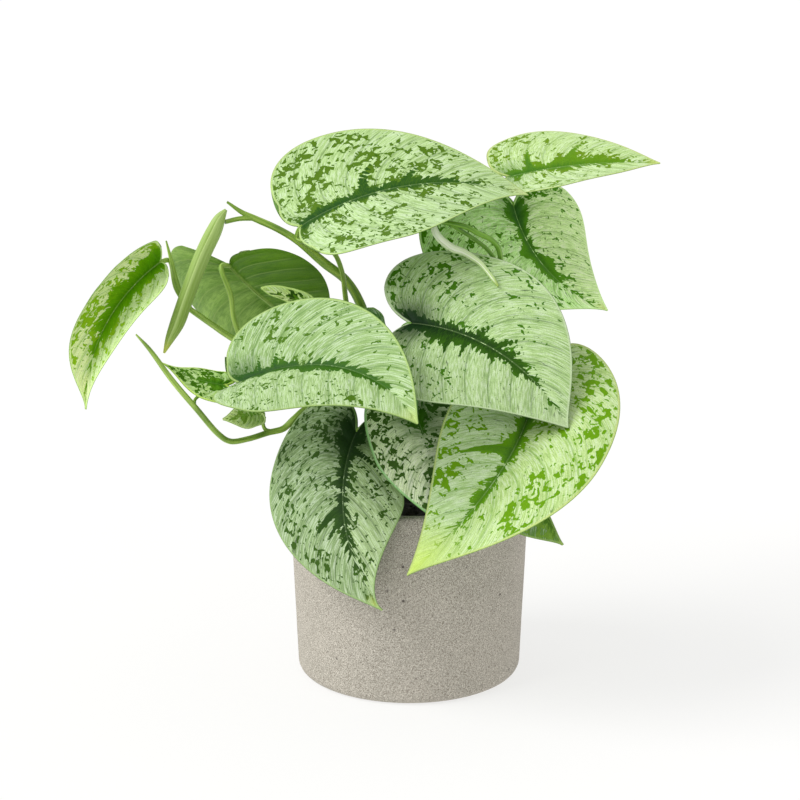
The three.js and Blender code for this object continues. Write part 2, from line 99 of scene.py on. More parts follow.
class Wire:
    """One output socket of a node, with arithmetic that adds the nodes for it."""

    __add__, __radd__ = _operator("ADD"), _operator("ADD", True)
    __sub__, __rsub__ = _operator("SUBTRACT"), _operator("SUBTRACT", True)
    __mul__, __rmul__ = _operator("MULTIPLY"), _operator("MULTIPLY", True)
    __truediv__, __rtruediv__ = _operator("DIVIDE"), _operator("DIVIDE", True)
    __pow__, __rpow__ = _operator("POWER"), _operator("POWER", True)
    least = _operator("MINIMUM")

    def __init__(self, graph: "Graph", socket: bpy.types.NodeSocket) -> None:
        """Holds a socket.

        Args:
            graph: the graph that new nodes go into.
            socket: the output socket.
        """
        self.graph = graph
        self.socket = socket
        self.kind = {"VECTOR": Kind.VECTOR, "RGBA": Kind.COLOUR}.get(socket.type, Kind.NUMBER)

    def __abs__(self) -> "Wire":
        """Size of a number."""
        return self.graph.math("ABSOLUTE", self)

    def floor(self) -> "Wire":
        """The whole number at or below a number."""
        return self.graph.math("FLOOR", self)

    def cosine(self) -> "Wire":
        """Cosine of a number in radians."""
        return self.graph.math("COSINE", self)

    def sine(self) -> "Wire":
        """Sine of a number in radians."""
        return self.graph.math("SINE", self)

    def ramp(self, low: float, high: float) -> "Wire":
        """A smooth step from 0 at one number to 1 at another, which may be the lower one."""
        return self.graph.node("ShaderNodeMapRange", {"interpolation_type": "SMOOTHSTEP"}, {
            "Value": self, "From Min": low, "From Max": high})

    def part(self, axis: int) -> "Wire":
        """One component of a vector."""
        return self.graph.node("ShaderNodeSeparateXYZ", inputs={0: self}, output=axis)


class Graph:
    """A node tree that is written as expressions."""

    def __init__(self, tree: bpy.types.NodeTree) -> None:
        """Starts on a tree."""
        self.tree = tree

    @staticmethod
    def _socket(sockets: bpy.types.bpy_prop_collection, key: Union[str, int]) -> bpy.types.NodeSocket:
        """Finds a socket.

        Args:
            sockets: a node's inputs or outputs.
            key: the socket's place, its identifier or its name.

        Returns:
            The socket.
        """
        if isinstance(key, int):
            return sockets[key]
        exact = [socket for socket in sockets if socket.identifier == key]
        return (exact or [socket for socket in sockets if socket.name == key and socket.enabled])[0]

    def node(self, kind: str, settings: Optional[dict] = None, inputs: Optional[dict] = None,
             output: Union[str, int] = 0) -> Wire:
        """Adds a node.

        Args:
            kind: the node's type.
            settings: its properties.
            inputs: wires or constants by socket.
            output: the output that is wanted.

        Returns:
            The wire of that output.
        """
        node = self.tree.nodes.new(kind)
        for name, value in (settings or {}).items():
            setattr(node, name, value)
        for key, value in (inputs or {}).items():
            socket = self._socket(node.inputs, key)
            if isinstance(value, Wire):
                self.tree.links.new(value.socket, socket)
            elif socket.type == "RGBA" and len(value) == 3:
                socket.default_value = (*value, 1.0)
            else:
                socket.default_value = value
        return Wire(self, self._socket(node.outputs, output))

    def math(self, operation: str, *values: Value) -> Wire:
        """A Math node."""
        return self.node("ShaderNodeMath", {"operation": operation}, dict(enumerate(values)))

    def join(self, operation: str, first: Value, second: Value) -> Wire:
        """One operation on two values, as numbers, vectors or colours.

        Args:
            operation: the operation's name in the Math, Vector Math and Mix nodes.
            first: the left side.
            second: the right side.

        Returns:
            The result.
        """
        kinds = [value.kind for value in (first, second) if isinstance(value, Wire)]
        if Kind.COLOUR in kinds:
            return self.mix(1.0, first, second, operation)
        if Kind.VECTOR in kinds:
            return self.node("ShaderNodeVectorMath", {"operation": operation},
                             {0: self.vector(first), 1: self.vector(second)})
        return self.math(operation, first, second)

    @staticmethod
    def vector(value: Value) -> Value:
        """A value that fits a vector socket."""
        return value if isinstance(value, Wire) or hasattr(value, "__len__") else (value,) * 3

    def xyz(self, x: Value, y: Value, z: Value = 0.0) -> Wire:
        """A vector of three numbers."""
        return self.node("ShaderNodeCombineXYZ", inputs={0: x, 1: y, 2: z})

    def mix(self, factor: Value, first: Value, second: Value, blend: str = "MIX") -> Wire:
        """A mix of two colours.

        Args:
            factor: how much of the second.
            first: a colour.
            second: a colour.
            blend: how they blend.

        Returns:
            The mixed colour.
        """
        return self.node("ShaderNodeMix", {"data_type": "RGBA", "blend_type": blend},
                         {"Factor_Float": factor, "A_Color": first, "B_Color": second}, "Result_Color")

    def attribute(self, name: str) -> Wire:
        """The piece's own vector attribute."""
        return self.node("ShaderNodeAttribute", {"attribute_name": name}, output="Vector")

    def noise(self, place: Wire, scale: float = 1.0, detail: float = 3.0, roughness: float = 0.55,
              distortion: float = 0.0) -> Wire:
        """Fractal noise about 0.5.

        Args:
            place: where it is read.
            scale: its cells in each unit of the place.
            detail: its finer octaves.
            roughness: how strong they are.
            distortion: how far its shapes are bent.

        Returns:
            The noise.
        """
        return self.node("ShaderNodeTexNoise", {"noise_dimensions": "3D", "normalize": True}, {
            "Vector": place, "Scale": scale, "Detail": detail, "Roughness": roughness,
            "Distortion": distortion})


class Surface(Graph):
    """A material's node tree round one Principled shader."""

    def __init__(self, name: str, **fixed: float) -> None:
        """Makes the material.

        Args:
            name: the material's name.
            fixed: the shader's own constants, with the sockets' names in lower case and _ for a space.
        """
        self.material = bpy.data.materials.new(name)
        self.material.use_nodes = True
        super().__init__(self.material.node_tree)
        self.shader = self.tree.nodes["Principled BSDF"]
        for key, value in fixed.items():
            self.set(key.replace("_", " ").title().replace("Ior", "IOR"), value)

    def set(self, name: str, value: Value) -> None:
        """Sets or links one socket of the shader.

        Args:
            name: the socket's name.
            value: a wire or a constant.
        """
        socket = self.shader.inputs[name]
        if isinstance(value, Wire):
            self.tree.links.new(value.socket, socket)
        else:
            socket.default_value = value

    def coat(self, under: Union[Wire, Colour], *layers: tuple[Colour, Wire]) -> Wire:
        """Lays colours over what is there, one after the other.

        Args:
            under: the wire of what is there, or a colour in display levels.
            layers: each new colour in display levels, with how much of it covers.

        Returns:
            The mixed colour.
        """
        under = under if isinstance(under, Wire) else linear(under)
        for colour, amount in layers:
            under = self.mix(amount, under, linear(colour))
        return under

    def dress(self, colour: Wire, roughness: Value, height: Value, strength: float) -> bpy.types.Material:
        """Finishes the material.

        Args:
            colour: its colour.
            roughness: its roughness.
            height: its relief in millimetres.
            strength: how much of the relief shows.

        Returns:
            The material.
        """
        self.set("Base Color", colour)
        self.set("Roughness", roughness)
        self.set("Normal", self.node("ShaderNodeBump", None, {
            "Height": height, "Strength": strength, "Distance": MM}))
        return self.material

    def place(self) -> Wire:
        """The place on the piece in millimetres."""
        return self.node("ShaderNodeTexCoord", output="Object") * PER_METRE


def linear(levels: Colour) -> Colour:
    """A colour for a shader from display levels of 0 to 255."""
    return tuple((v / 255 / 12.92) if v <= 10 else ((v / 255 + 0.055) / 1.055) ** 2.4 for v in levels)


# ------------------------------------------------------------------------------------------
# Meshes


def linked(name: str, data: bpy.types.ID) -> bpy.types.Object:
    """Adds an object to the scene.

    Args:
        name: its name.
        data: its mesh, curve, light or camera.

    Returns:
        The object, at the origin.
    """
    piece = bpy.data.objects.new(name, data)
    bpy.context.scene.collection.objects.link(piece)
    return piece


def mesh_object(name: str, points: Array, faces: Sequence[Sequence[int]],
                attributes: Optional[dict[str, Array]] = None) -> bpy.types.Object:
    """A smooth mesh object at the origin.

    Args:
        name: the object's name.
        points: the vertices in millimetres.
        faces: the corners of each face.
        attributes: vectors for each vertex by name.

    Returns:
        The linked object.
    """
    mesh = bpy.data.meshes.new(name)
    mesh.from_pydata((np.asarray(points) * MM).tolist(), [], [list(face) for face in faces])
    for key, values in (attributes or {}).items():
        layer = mesh.attributes.new(key, "FLOAT_VECTOR", "POINT")
        layer.data.foreach_set("vector", np.ascontiguousarray(values, dtype=np.float32).ravel())
    mesh.polygons.foreach_set("use_smooth", [True] * len(mesh.polygons))
    mesh.update()
    return linked(name, mesh)


def curve_object(name: str, lines: Sequence[Array],
                 radii: Optional[Sequence[Array]] = None) -> bpy.types.Object:
    """A curve object of straight pieces between points.

    Args:
        name: the object's name.
        lines: the points of each line in millimetres.
        radii: the radius at each point in millimetres.

    Returns:
        The linked object.
    """
    curve = bpy.data.curves.new(name, "CURVE")
    curve.dimensions = "3D"
    for number, points in enumerate(lines):
        spline = curve.splines.new("POLY")
        spline.points.add(len(points) - 1)
        spline.points.foreach_set("co", np.column_stack([points * MM, np.ones(len(points))]).ravel())
        if radii is not None:
            spline.points.foreach_set("radius", radii[number])
    return linked(name, curve)


def settle(piece: bpy.types.Object, material: bpy.types.Material, node: Optional[str],
           slot: str) -> bpy.types.Object:
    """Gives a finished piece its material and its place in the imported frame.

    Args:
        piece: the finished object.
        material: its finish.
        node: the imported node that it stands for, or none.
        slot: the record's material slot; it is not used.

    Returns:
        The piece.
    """
    if not piece.data.materials:
        piece.data.materials.append(material)
    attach(piece, "root")
    if node:
        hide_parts(node)
    log.info("%s: %d faces", piece.name, len(piece.data.polygons))
    return piece


class GeometryTree(Graph):
    """A Geometry Nodes tree with named inputs, run once on an object and then taken off it."""

    SOCKETS = {float: "NodeSocketFloat", int: "NodeSocketInt", bpy.types.Material: "NodeSocketMaterial"}

    def __init__(self, name: str, **inputs: Union[float, int, bpy.types.Material]) -> None:
        """Makes the tree's interface.

        Args:
            name: the tree's name.
            inputs: the named inputs with their values.
        """
        tree = bpy.data.node_groups.new(name, "GeometryNodeTree")
        super().__init__(tree)
        self.values = inputs
        tree.interface.new_socket("Geometry", in_out="INPUT", socket_type="NodeSocketGeometry")
        for key, value in inputs.items():
            kind = next(socket for base, socket in self.SOCKETS.items() if isinstance(value, base))
            tree.interface.new_socket(key, in_out="INPUT", socket_type=kind)
        tree.interface.new_socket("Geometry", in_out="OUTPUT", socket_type="NodeSocketGeometry")
        self.entry = tree.nodes.new("NodeGroupInput")

    def given(self, name: str) -> Wire:
        """A named input of the tree."""
        return Wire(self, self.entry.outputs[name])

    def store(self, geometry: Wire, name: str, value: Wire) -> Wire:
        """Keeps a number or a vector with each point of a geometry.

        Args:
            geometry: the geometry.
            name: the attribute's name.
            value: what it holds.

        Returns:
            The geometry with the attribute.
        """
        kind = "FLOAT_VECTOR" if value.kind is Kind.VECTOR else "FLOAT"
        return self.node("GeometryNodeStoreNamedAttribute", {"data_type": kind, "domain": "POINT"},
                         {"Geometry": geometry, "Name": name, "Value": value})

    def read(self, name: str) -> Wire:
        """A named number of the geometry."""
        return self.node("GeometryNodeInputNamedAttribute", {"data_type": "FLOAT"}, {"Name": name},
                         "Attribute")

    def apply(self, geometry: Wire, source: bpy.types.Object, name: str) -> bpy.types.Object:
        """Ends the tree in real, smooth geometry with its material, and runs it on an object.

        Args:
            geometry: what the tree makes.
            source: the object that it works on, which is deleted afterwards.
            name: the name of the new piece.

        Returns:
            A plain mesh object of the result.
        """
        real = self.node("GeometryNodeRealizeInstances", None, {"Geometry": geometry})
        smooth = self.node("GeometryNodeSetShadeSmooth", None, {"Geometry": real})
        dressed = self.node("GeometryNodeSetMaterial", None, {
            "Geometry": smooth, "Material": self.given("Material")})
        leave = self.tree.nodes.new("NodeGroupOutput")
        self.tree.links.new(dressed.socket, leave.inputs[0])
        modifier = source.modifiers.new(self.tree.name, "NODES")
        modifier.node_group = self.tree
        for item in self.tree.interface.items_tree:
            if item.in_out == "INPUT" and item.name in self.values:
                modifier[item.identifier] = self.values[item.name]
        graph = bpy.context.evaluated_depsgraph_get()
        graph.update()
        mesh = bpy.data.meshes.new_from_object(source.evaluated_get(graph), preserve_all_data_layers=True,
                                               depsgraph=graph)
        source.modifiers.remove(modifier)
        bpy.data.objects.remove(source)
        mesh.name = name
        return linked(name, mesh)


# ------------------------------------------------------------------------------------------
# Blades


def cubic(a: float, b: float, c: float, d: float, k: Array) -> Array:
    """A number on a cubic Bezier curve."""
    return (1 - k) ** 3 * a + 3 * (1 - k) ** 2 * k * b + 3 * (1 - k) * k * k * c + k ** 3 * d


@dataclass(frozen=True)
class BladeShape:
    """Where a blade grows, its flat size and how it bends; millimetres and degrees.

    The heading is about +Z from +X, the pitch above the horizontal and the roll about the blade's length.
    Pairs give the left half first: its width, how far its lobe hangs below the base, where it is widest as a
    share of the length, how full it stays towards the tip, its fold at the midrib and its curl towards the
    margin.
    """

    base: Point
    heading: float
    pitch: float
    roll: float
    length: float
    half_widths: Pair
    lobe: Pair
    widest: Pair
    fullness: Pair
    droop: float
    sickle: float
    twist: float
    fold: Pair
    curl: Pair

    LOBE_INSET = 0.42
    LOBE_ROWS = 0.42
    TIP_HALF_WIDTH = 0.5
    VEIN_START = 1.35
    VEIN_BOW = 0.14
    REACH = (-0.3, 1.02)
    STEPS = 520
    STRAIGHT = 1e-7
    LOBE_HANDLES = (0.6, 0.42)
    TIP_HANDLES = (0.4, 0.78)

    def frames(self, u: Array) -> Array:
        """The frames along the midrib.

        Args:
            u: shares of the length.

        Returns:
            Matrices whose columns point right, forward and up.
        """
        h, p, r = np.radians([self.heading, self.pitch, self.roll])
        forward = np.array([math.cos(p) * math.cos(h), math.cos(p) * math.sin(h), math.sin(p)])
        up = np.array([-math.sin(p) * math.cos(h), -math.sin(p) * math.sin(h), math.cos(p)])
        right = np.cross(forward, up)
        start = np.stack([right * math.cos(r) - up * math.sin(r), forward,
                          up * math.cos(r) + right * math.sin(r)], axis=-1)
        turn = np.radians([-self.droop, self.twist, -self.sickle])
        angle = np.linalg.norm(turn)
        x, y, z = turn / max(angle, 1e-9)
        cross = np.array([[0, -z, y], [z, 0, -x], [-y, x, 0]])
        a = (angle * np.asarray(u, dtype=float))[..., None, None]
        return start @ (np.eye(3) + np.sin(a) * cross + (1 - np.cos(a)) * (cross @ cross))

    def bend(self, x: Array, y: Array) -> Array:
        """Places on the bent blade.

        Args:
            x: places across the flat blade.
            y: places along it.

        Returns:
            Points in the plant's frame.
        """
        shares = np.linspace(*self.REACH, self.STEPS)
        ahead = self.frames(shares)[..., 1]
        path = np.zeros((self.STEPS, 3))
        path[1:] = np.cumsum((ahead[1:] + ahead[:-1]) / 2 * (shares[1] - shares[0]) * self.length, axis=0)
        path += np.array(self.base) - [np.interp(0, shares, path[:, k]) for k in range(3)]
        u = y / self.length
        centre = np.stack([np.interp(u, shares, path[:, k]) for k in range(3)], axis=-1)
        side = (x >= 0).astype(int)
        start = np.radians(np.array(self.fold))[side]
        rate = np.radians(np.array(self.curl))[side] / np.array(self.half_widths)[side]
        rate = np.where(np.abs(rate) < self.STRAIGHT, self.STRAIGHT, rate)
        end = start + rate * np.abs(x)
        out = (np.sin(end) - np.sin(start)) / rate * np.where(side == 0, -1, 1)
        rise = (np.cos(start) - np.cos(end)) / rate
        frames = self.frames(u)
        return centre + frames[..., 0] * out[..., None] + frames[..., 2] * rise[..., None]

    def margin(self, side: int, t: Array) -> tuple[Array, Array]:
        """The flat margin of one half.

        Args:
            side: 0 for the left half and 1 for the right one.
            t: shares from the end of the lobe at 0 to the tip at 1.

        Returns:
            The places across and the places along.
        """
        half_width, lobe = self.half_widths[side], self.lobe[side]
        inset, widest = self.LOBE_INSET * half_width, self.widest[side] * self.length
        k = np.clip(t / self.LOBE_ROWS, 0, 1)
        m = np.clip((t - self.LOBE_ROWS) / (1 - self.LOBE_ROWS), 0, 1)
        low = t <= self.LOBE_ROWS
        rest = self.length - widest
        out, up = self.LOBE_HANDLES
        near, late = self.TIP_HANDLES
        across = np.where(low, cubic(inset, inset + out * (half_width - inset), half_width, half_width, k),
                          cubic(half_width, half_width, self.fullness[side] * half_width,
                                self.TIP_HALF_WIDTH, m))
        along = np.where(low, cubic(-lobe, -lobe, -lobe + up * (widest + lobe), widest, k),
                         cubic(widest, widest + near * rest, widest + late * rest, self.length, m))
        return across, along

    def flat(self, t: Array, s: Array) -> tuple[Array, Array, Array]:
        """Places on the flat blade.

        Args:
            t: shares along the side veins' feet.
            s: shares across, from the left margin at -1 to the right one at 1.

        Returns:
            The places across and along, and the signed distance from the midrib along the vein.
        """
        sides = [self.margin(side, t) for side in (0, 1)]
        across = np.where(s < 0, sides[0][0], sides[1][0])
        foot = self.length * t ** self.VEIN_START
        along = np.where(s < 0, sides[0][1], sides[1][1]) - foot
        reach = np.abs(s)
        bow = self.VEIN_BOW * (1 - t) * 4 * reach * (1 - reach)
        x = across * reach + along * bow
        return np.where(s < 0, -x, x), foot + along * reach - across * bow, s * np.hypot(across, along)


@dataclass(frozen=True)
class Half:
    """The green marks on one half of a blade, in percent of the midrib and of the half width.

    Attributes:
        band: how far the midrib's band reaches, as (place along the midrib, reach).
        spots: how much of the skin the blotches cover, as (place along, beside the band, at the margin).
        branches: longer arms of the band, as (place along the midrib, reach, width in mm).
        patches: changes of that cover, as (place along, place across, radius in mm, change).
    """

    band: tuple[Pair, ...] = ((0, 10), (50, 10), (90, 0))
    spots: tuple[Point, ...] = ((0, 10, 30), (100, 10, 30))
    branches: tuple[Point, ...] = ()
    patches: tuple[tuple[float, float, float, float], ...] = ()


@dataclass(frozen=True)
class Relief:
    """The low relief of a blade: how many side veins and waves it has, and their sizes in millimetres."""

    veins: int = 10
    quilt: float = 0.28
    groove: float = 0.3
    midrib: float = 0.45
    midrib_width: float = 1.1
    keel: float = 0.7
    keel_width: float = 1.3
    wave: float = 0.7
    waves: float = 2.3
    thickness: float = 0.5
    rim: float = 0.28
    rim_width: float = 2.5

    VEIN_CROWD = 0.9
    GROOVE_POWER = 5
    WAVE_POWER = 4
    SIDE_PHASE = 0.35
    FADES = (6, 3, 5)

    def height(self, t: Array, s: Array, foot: Array, vein: Array, start: float) -> Array:
        """How far the skin stands off the blade's middle.

        Args:
            t: shares along the side veins' feet.
            s: shares across.
            foot: where each point's own side vein leaves the midrib, as a share.
            vein: distances from the midrib along the vein.
            start: where the margin's waves start, in waves.

        Returns:
            The height on the upper side.
        """
        reach = np.abs(s)
        swell = np.cos(TURN * (foot ** self.VEIN_CROWD * self.veins))
        fade = np.prod([np.clip(share * rate, 0, 1) for share, rate
                        in zip((reach, 1 - reach, 1 - t), self.FADES)], axis=0)
        ribs = fade * (-self.groove * (0.5 + 0.5 * swell) ** self.GROOVE_POWER - self.quilt * 0.5 * swell)
        waves = np.sin(TURN * (self.waves * t + self.SIDE_PHASE * np.sign(s) + start)) * (1 - t)
        midrib = self.midrib * np.exp(-(vein / self.midrib_width) ** 2) * (1 - t) ** 0.5
        return ribs + self.wave * reach ** self.WAVE_POWER * waves - midrib


class Detail(Enum):
    """How finely a blade is meshed: rows along it and columns on each half."""

    FULL = (110, 34)
    SMALL = (60, 20)


@dataclass
class Blade:
    """One blade with its markings."""

    key: str
    slot: str
    shape: BladeShape
    finish: "BladeFinish"
    halves: tuple[Half, Half] = (Half(), Half())
    relief: Relief = field(default_factory=Relief)
    detail: Detail = Detail.FULL
    plain_tip: float = 0.9

    SWEEP = 0.9
    CROWD_ALONG = 0.45
    CROWD_ACROSS = 0.75
    WAVE_STEP = 0.1
    ROUND_RIM = 0.45
    INNER_REACH = 0.35
    INNER_FADE = 0.3
    LEAST_COVER = 0.002
    BELL_SCALE, BELL_POWER = 4.91, 0.14
    LEAST_SPREAD, MOST_SPREAD = -2.0, 5.0

    @staticmethod
    def _eased(count: int, ease: float) -> Array:
        """Shares from 0 to 1 that crowd towards both ends."""
        p = np.linspace(0, 1, count + 1)
        return p - ease / TURN * np.sin(TURN * p)

    def _spread(self, x: Array, y: Array, foot: Array) -> Array:
        """How far apart the side veins lie.

        Args:
            x: places across the flat blade.
            y: places along it.
            foot: places on the midrib where the side veins leave it.

        Returns:
            The distance at each point, in doublings of the distance of the veins' feet.
        """
        (x_t, x_s), (y_t, y_s), (f_t, f_s) = (np.gradient(values) for values in (x, y, foot))
        area = np.maximum(np.abs(x_t * y_s - x_s * y_t), 1e-6)
        slope = np.hypot(f_t * y_s - f_s * y_t, f_s * x_t - f_t * x_s) / area
        return np.clip(-np.log2(np.maximum(slope, 1e-3)), self.LEAST_SPREAD, self.MOST_SPREAD)

    def _marks(self, t: Array, s: Array, foot: Array, vein: Array) -> Array:
        """The pattern's lasting numbers at each point.

        Args:
            t: shares along the veins' feet.
            s: shares across.
            foot: where the point's own side vein leaves the midrib, as a share.
            vein: signed distance from the midrib along the vein.

        Returns:
            The depth inside the band, how many standard deviations of the pattern the blotches fill, and the
            plainness of the tip.
        """
        depth, cover = np.zeros_like(t), np.full_like(t, 0.5)
        width = np.abs(vein) / np.maximum(np.abs(s), 1e-3)
        x, y, _ = self.shape.flat(t, s)
        for sign, half in zip((-1, 1), self.halves):
            mine = (s < 0) if sign < 0 else (s >= 0)
            places, reaches = (np.array(half.band) / 100).T
            reach = np.interp(foot, places, reaches)
            for place, share, wide in half.branches:
                near = np.exp(-(((foot - place / 100) * self.shape.length / wide) ** 2))
                reach = np.maximum(reach, share / 100 * near)
            depth = np.where(mine, (reach - np.abs(s)) * width, depth)
            places, inner, outer = (np.array(half.spots) / 100).T
            inner, outer = np.interp(foot, places, inner), np.interp(foot, places, outer)
            own = inner + (outer - inner) * np.clip((np.abs(s) - self.INNER_REACH) / self.INNER_FADE, 0, 1)
            for place, share, radius, change in half.patches:
                px, py, _ = self.shape.flat(np.array([place / 100]), np.array([share / 100 * sign]))
                own = own + change / 100 * np.exp(-((x - px) ** 2 + (y - py) ** 2) / radius ** 2)
            cover = np.where(mine, np.clip(own, self.LEAST_COVER, 1 - self.LEAST_COVER), cover)
        tip = np.clip((t - self.plain_tip) / (1.0 - self.plain_tip), 0, 1)
        return np.stack([depth, self._deviations(cover), tip], axis=-1)

    def _deviations(self, share: Array) -> Array:
        """The standard deviations below which a share of a bell curve lies, nearly."""
        return self.BELL_SCALE * (share ** self.BELL_POWER - (1 - share) ** self.BELL_POWER)

    def build(self) -> bpy.types.Object:
        """Makes the closed blade, thinner at its margin, with its veins in low relief.

        Returns:
            The finished piece.
        """
        name, form = f"{self.key}_blade", self.relief
        rows, columns = self.detail.value
        across = self._eased(columns, self.CROWD_ACROSS)
        t, s = np.meshgrid(self._eased(rows, self.CROWD_ALONG), np.concatenate([-across[:0:-1], across]),
                           indexing="ij")
        x, y, vein = self.shape.flat(t, s)
        reach = np.abs(s)
        foot = t - self.SWEEP * t * (1 - t) * reach
        rim = np.concatenate([np.stack([x[:, k], y[:, k]], -1) for k in (0, -1)]
                             + [np.stack([x[0], y[0]], -1)])
        edge = np.min(np.hypot(x[..., None] - rim[:, 0], y[..., None] - rim[:, 1]), axis=-1)
        relief = form.height(t, s, foot, vein, self.WAVE_STEP * len(name))
        keel = form.keel * np.exp(-(vein / form.keel_width) ** 2) * (1 - t)
        middle = self.shape.bend(x, y)
        normal = np.cross(np.gradient(middle, axis=1), np.gradient(middle, axis=0))
        normal /= np.maximum(np.linalg.norm(normal, axis=-1, keepdims=True), 1e-12)
        half = 0.5 * (form.rim + (form.thickness - form.rim) * np.clip(edge / form.rim_width, 0, 1))
        upper = middle + normal * (relief + half)[..., None]
        lower = middle + normal * (relief - half - keel)[..., None]
        index = np.arange(t.size).reshape(t.shape)
        loop = np.concatenate([index[0, :-1], index[:-1, -1], index[-1, :0:-1], index[:0:-1, 0]])
        inner = np.concatenate([index[1, :-1], index[:-1, -2], index[-2, :0:-1], index[:0:-1, 1]])
        lift = middle.reshape(-1, 3) + (normal * relief[..., None]).reshape(-1, 3)
        outward = lift[loop] - lift[inner]
        outward /= np.maximum(np.linalg.norm(outward, axis=-1, keepdims=True), 1e-9)
        ring = lift[loop] + outward * form.rim * self.ROUND_RIM
        points = np.concatenate([upper.reshape(-1, 3), lower.reshape(-1, 3), ring])

        def spread(values: Array) -> Array:
            """The same values for both faces and the rim."""
            values = values.reshape(t.size, -1)
            return np.concatenate([values, values, values[loop]])

        top = np.concatenate([np.ones(t.size), np.zeros(t.size), np.full(len(loop), 0.5)])
        doublings = self._spread(x, y, foot * self.shape.length)
        piece = mesh_object(name, points, self._faces(index, loop).tolist(), {
            "vein": spread(np.stack([foot * self.shape.length, vein, reach], -1)),
            "spot": spread(np.stack([x, y, edge], -1)),
            "marks": spread(self._marks(t, s, foot, vein)),
            "face": np.column_stack([top, spread(t), spread(doublings)])})
        finish = replace(self.finish, length=self.shape.length)
        return settle(piece, BladeSkin(name, finish, form).material, f"leaf_{self.key}", self.slot)

    @staticmethod
    def _faces(index: Array, loop: Array) -> Array:
        """The faces of the upper skin, the lower skin and the rim between them.

        Args:
            index: the upper skin's vertices in rows; the lower skin's follow in the same order.
            loop: the upper skin's margin in order; the rim's own vertices come last.

        Returns:
            The four corners of each face.
        """
        a, b, c, d = (index[:-1, :-1].ravel(), index[:-1, 1:].ravel(), index[1:, 1:].ravel(),
                      index[1:, :-1].ravel())
        rim = 2 * index.size + np.arange(len(loop))
        after, rim_after = np.roll(loop, -1), np.roll(rim, -1)
        return np.concatenate([np.stack(corners, -1) for corners in (
            (a, b, c, d), (a + index.size, d + index.size, c + index.size, b + index.size),
            (loop, rim, rim_after, after), (rim, loop + index.size, after + index.size, rim_after))])


@dataclass(frozen=True)
class BladeFinish:
    """The satin skin of a blade: its silver ground, green band and blotches.

    Attributes:
        ground: the ground on the left half, in display levels like every colour here; it differs from
            ground_far as painted light and shade, the lighter half painted lit and the darker half painted
            shaded.
        ground_far: the ground on the right half.
        band: the band along the midrib.
        core: the band's deepest green.
        blotch: the blotches.
        rim: the thin margin.
        tip: the plain tip.
        under: the underside of the left half.
        under_far: the underside of the right half.
        under_dark: the underside's shade between its veins.
        under_vein: the underside's veins.
        sheen: the silk between the streaks.
        streak: how strongly green silk streaks the ground.
        fingers: how far the band's long fingers reach, in millimetres.
        ragged: how far its fine teeth reach, in millimetres.
        fringe: how much the blotches crowd beside the band.
        island: the blotches' cells per millimetre.
        vein_line: how strongly the side veins are drawn.
        groove_shade_strength: how strongly painted shade darkens the grooves along the side veins.
        crack: how strong the fine dark lines are.
        grain: how uneven the colour is from point to point.
        base: how dark the skin is painted round the petiole's joint, partly the band's deep green and partly
            painted shade.
        base_shade_reach: how far that painted darkening reaches, in millimetres.
        length: the blade's length in millimetres.
        seed: the pattern's own place in the noise.
        roughness: the skin's roughness.
    """

    ground: Colour
    ground_far: Colour
    band: Colour
    core: Colour
    blotch: Colour
    rim: Colour
    tip: Colour
    under: Colour = (118, 158, 80)
    under_far: Colour = (112, 152, 68)
    under_dark: Colour = (63, 108, 20)
    under_vein: Colour = (150, 178, 92)
    sheen: Colour = (222, 236, 212)
    streak: float = 0.34
    fingers: float = 13.0
    ragged: float = 11.0
    fringe: float = 0.6
    island: float = 0.3
    vein_line: float = 0.4
    groove_shade_strength: float = 0.14
    crack: float = 0.7
    grain: float = 0.7
    base: float = 0.5
    base_shade_reach: float = 16.0
    length: float = 100.0
    seed: float = 0.0
    roughness: float = 0.48


@dataclass(frozen=True)
class Lay:
    """Noise drawn out along the side veins.

    Attributes:
        pitch: its cells per millimetre across the veins.
        stretch: how many times longer than wide its cells are.
        offset: its place in the third dimension.
        detail: its finer octaves.
        roughness: how strong they are.
    """

    pitch: float
    stretch: float
    offset: float
    detail: int
    roughness: float


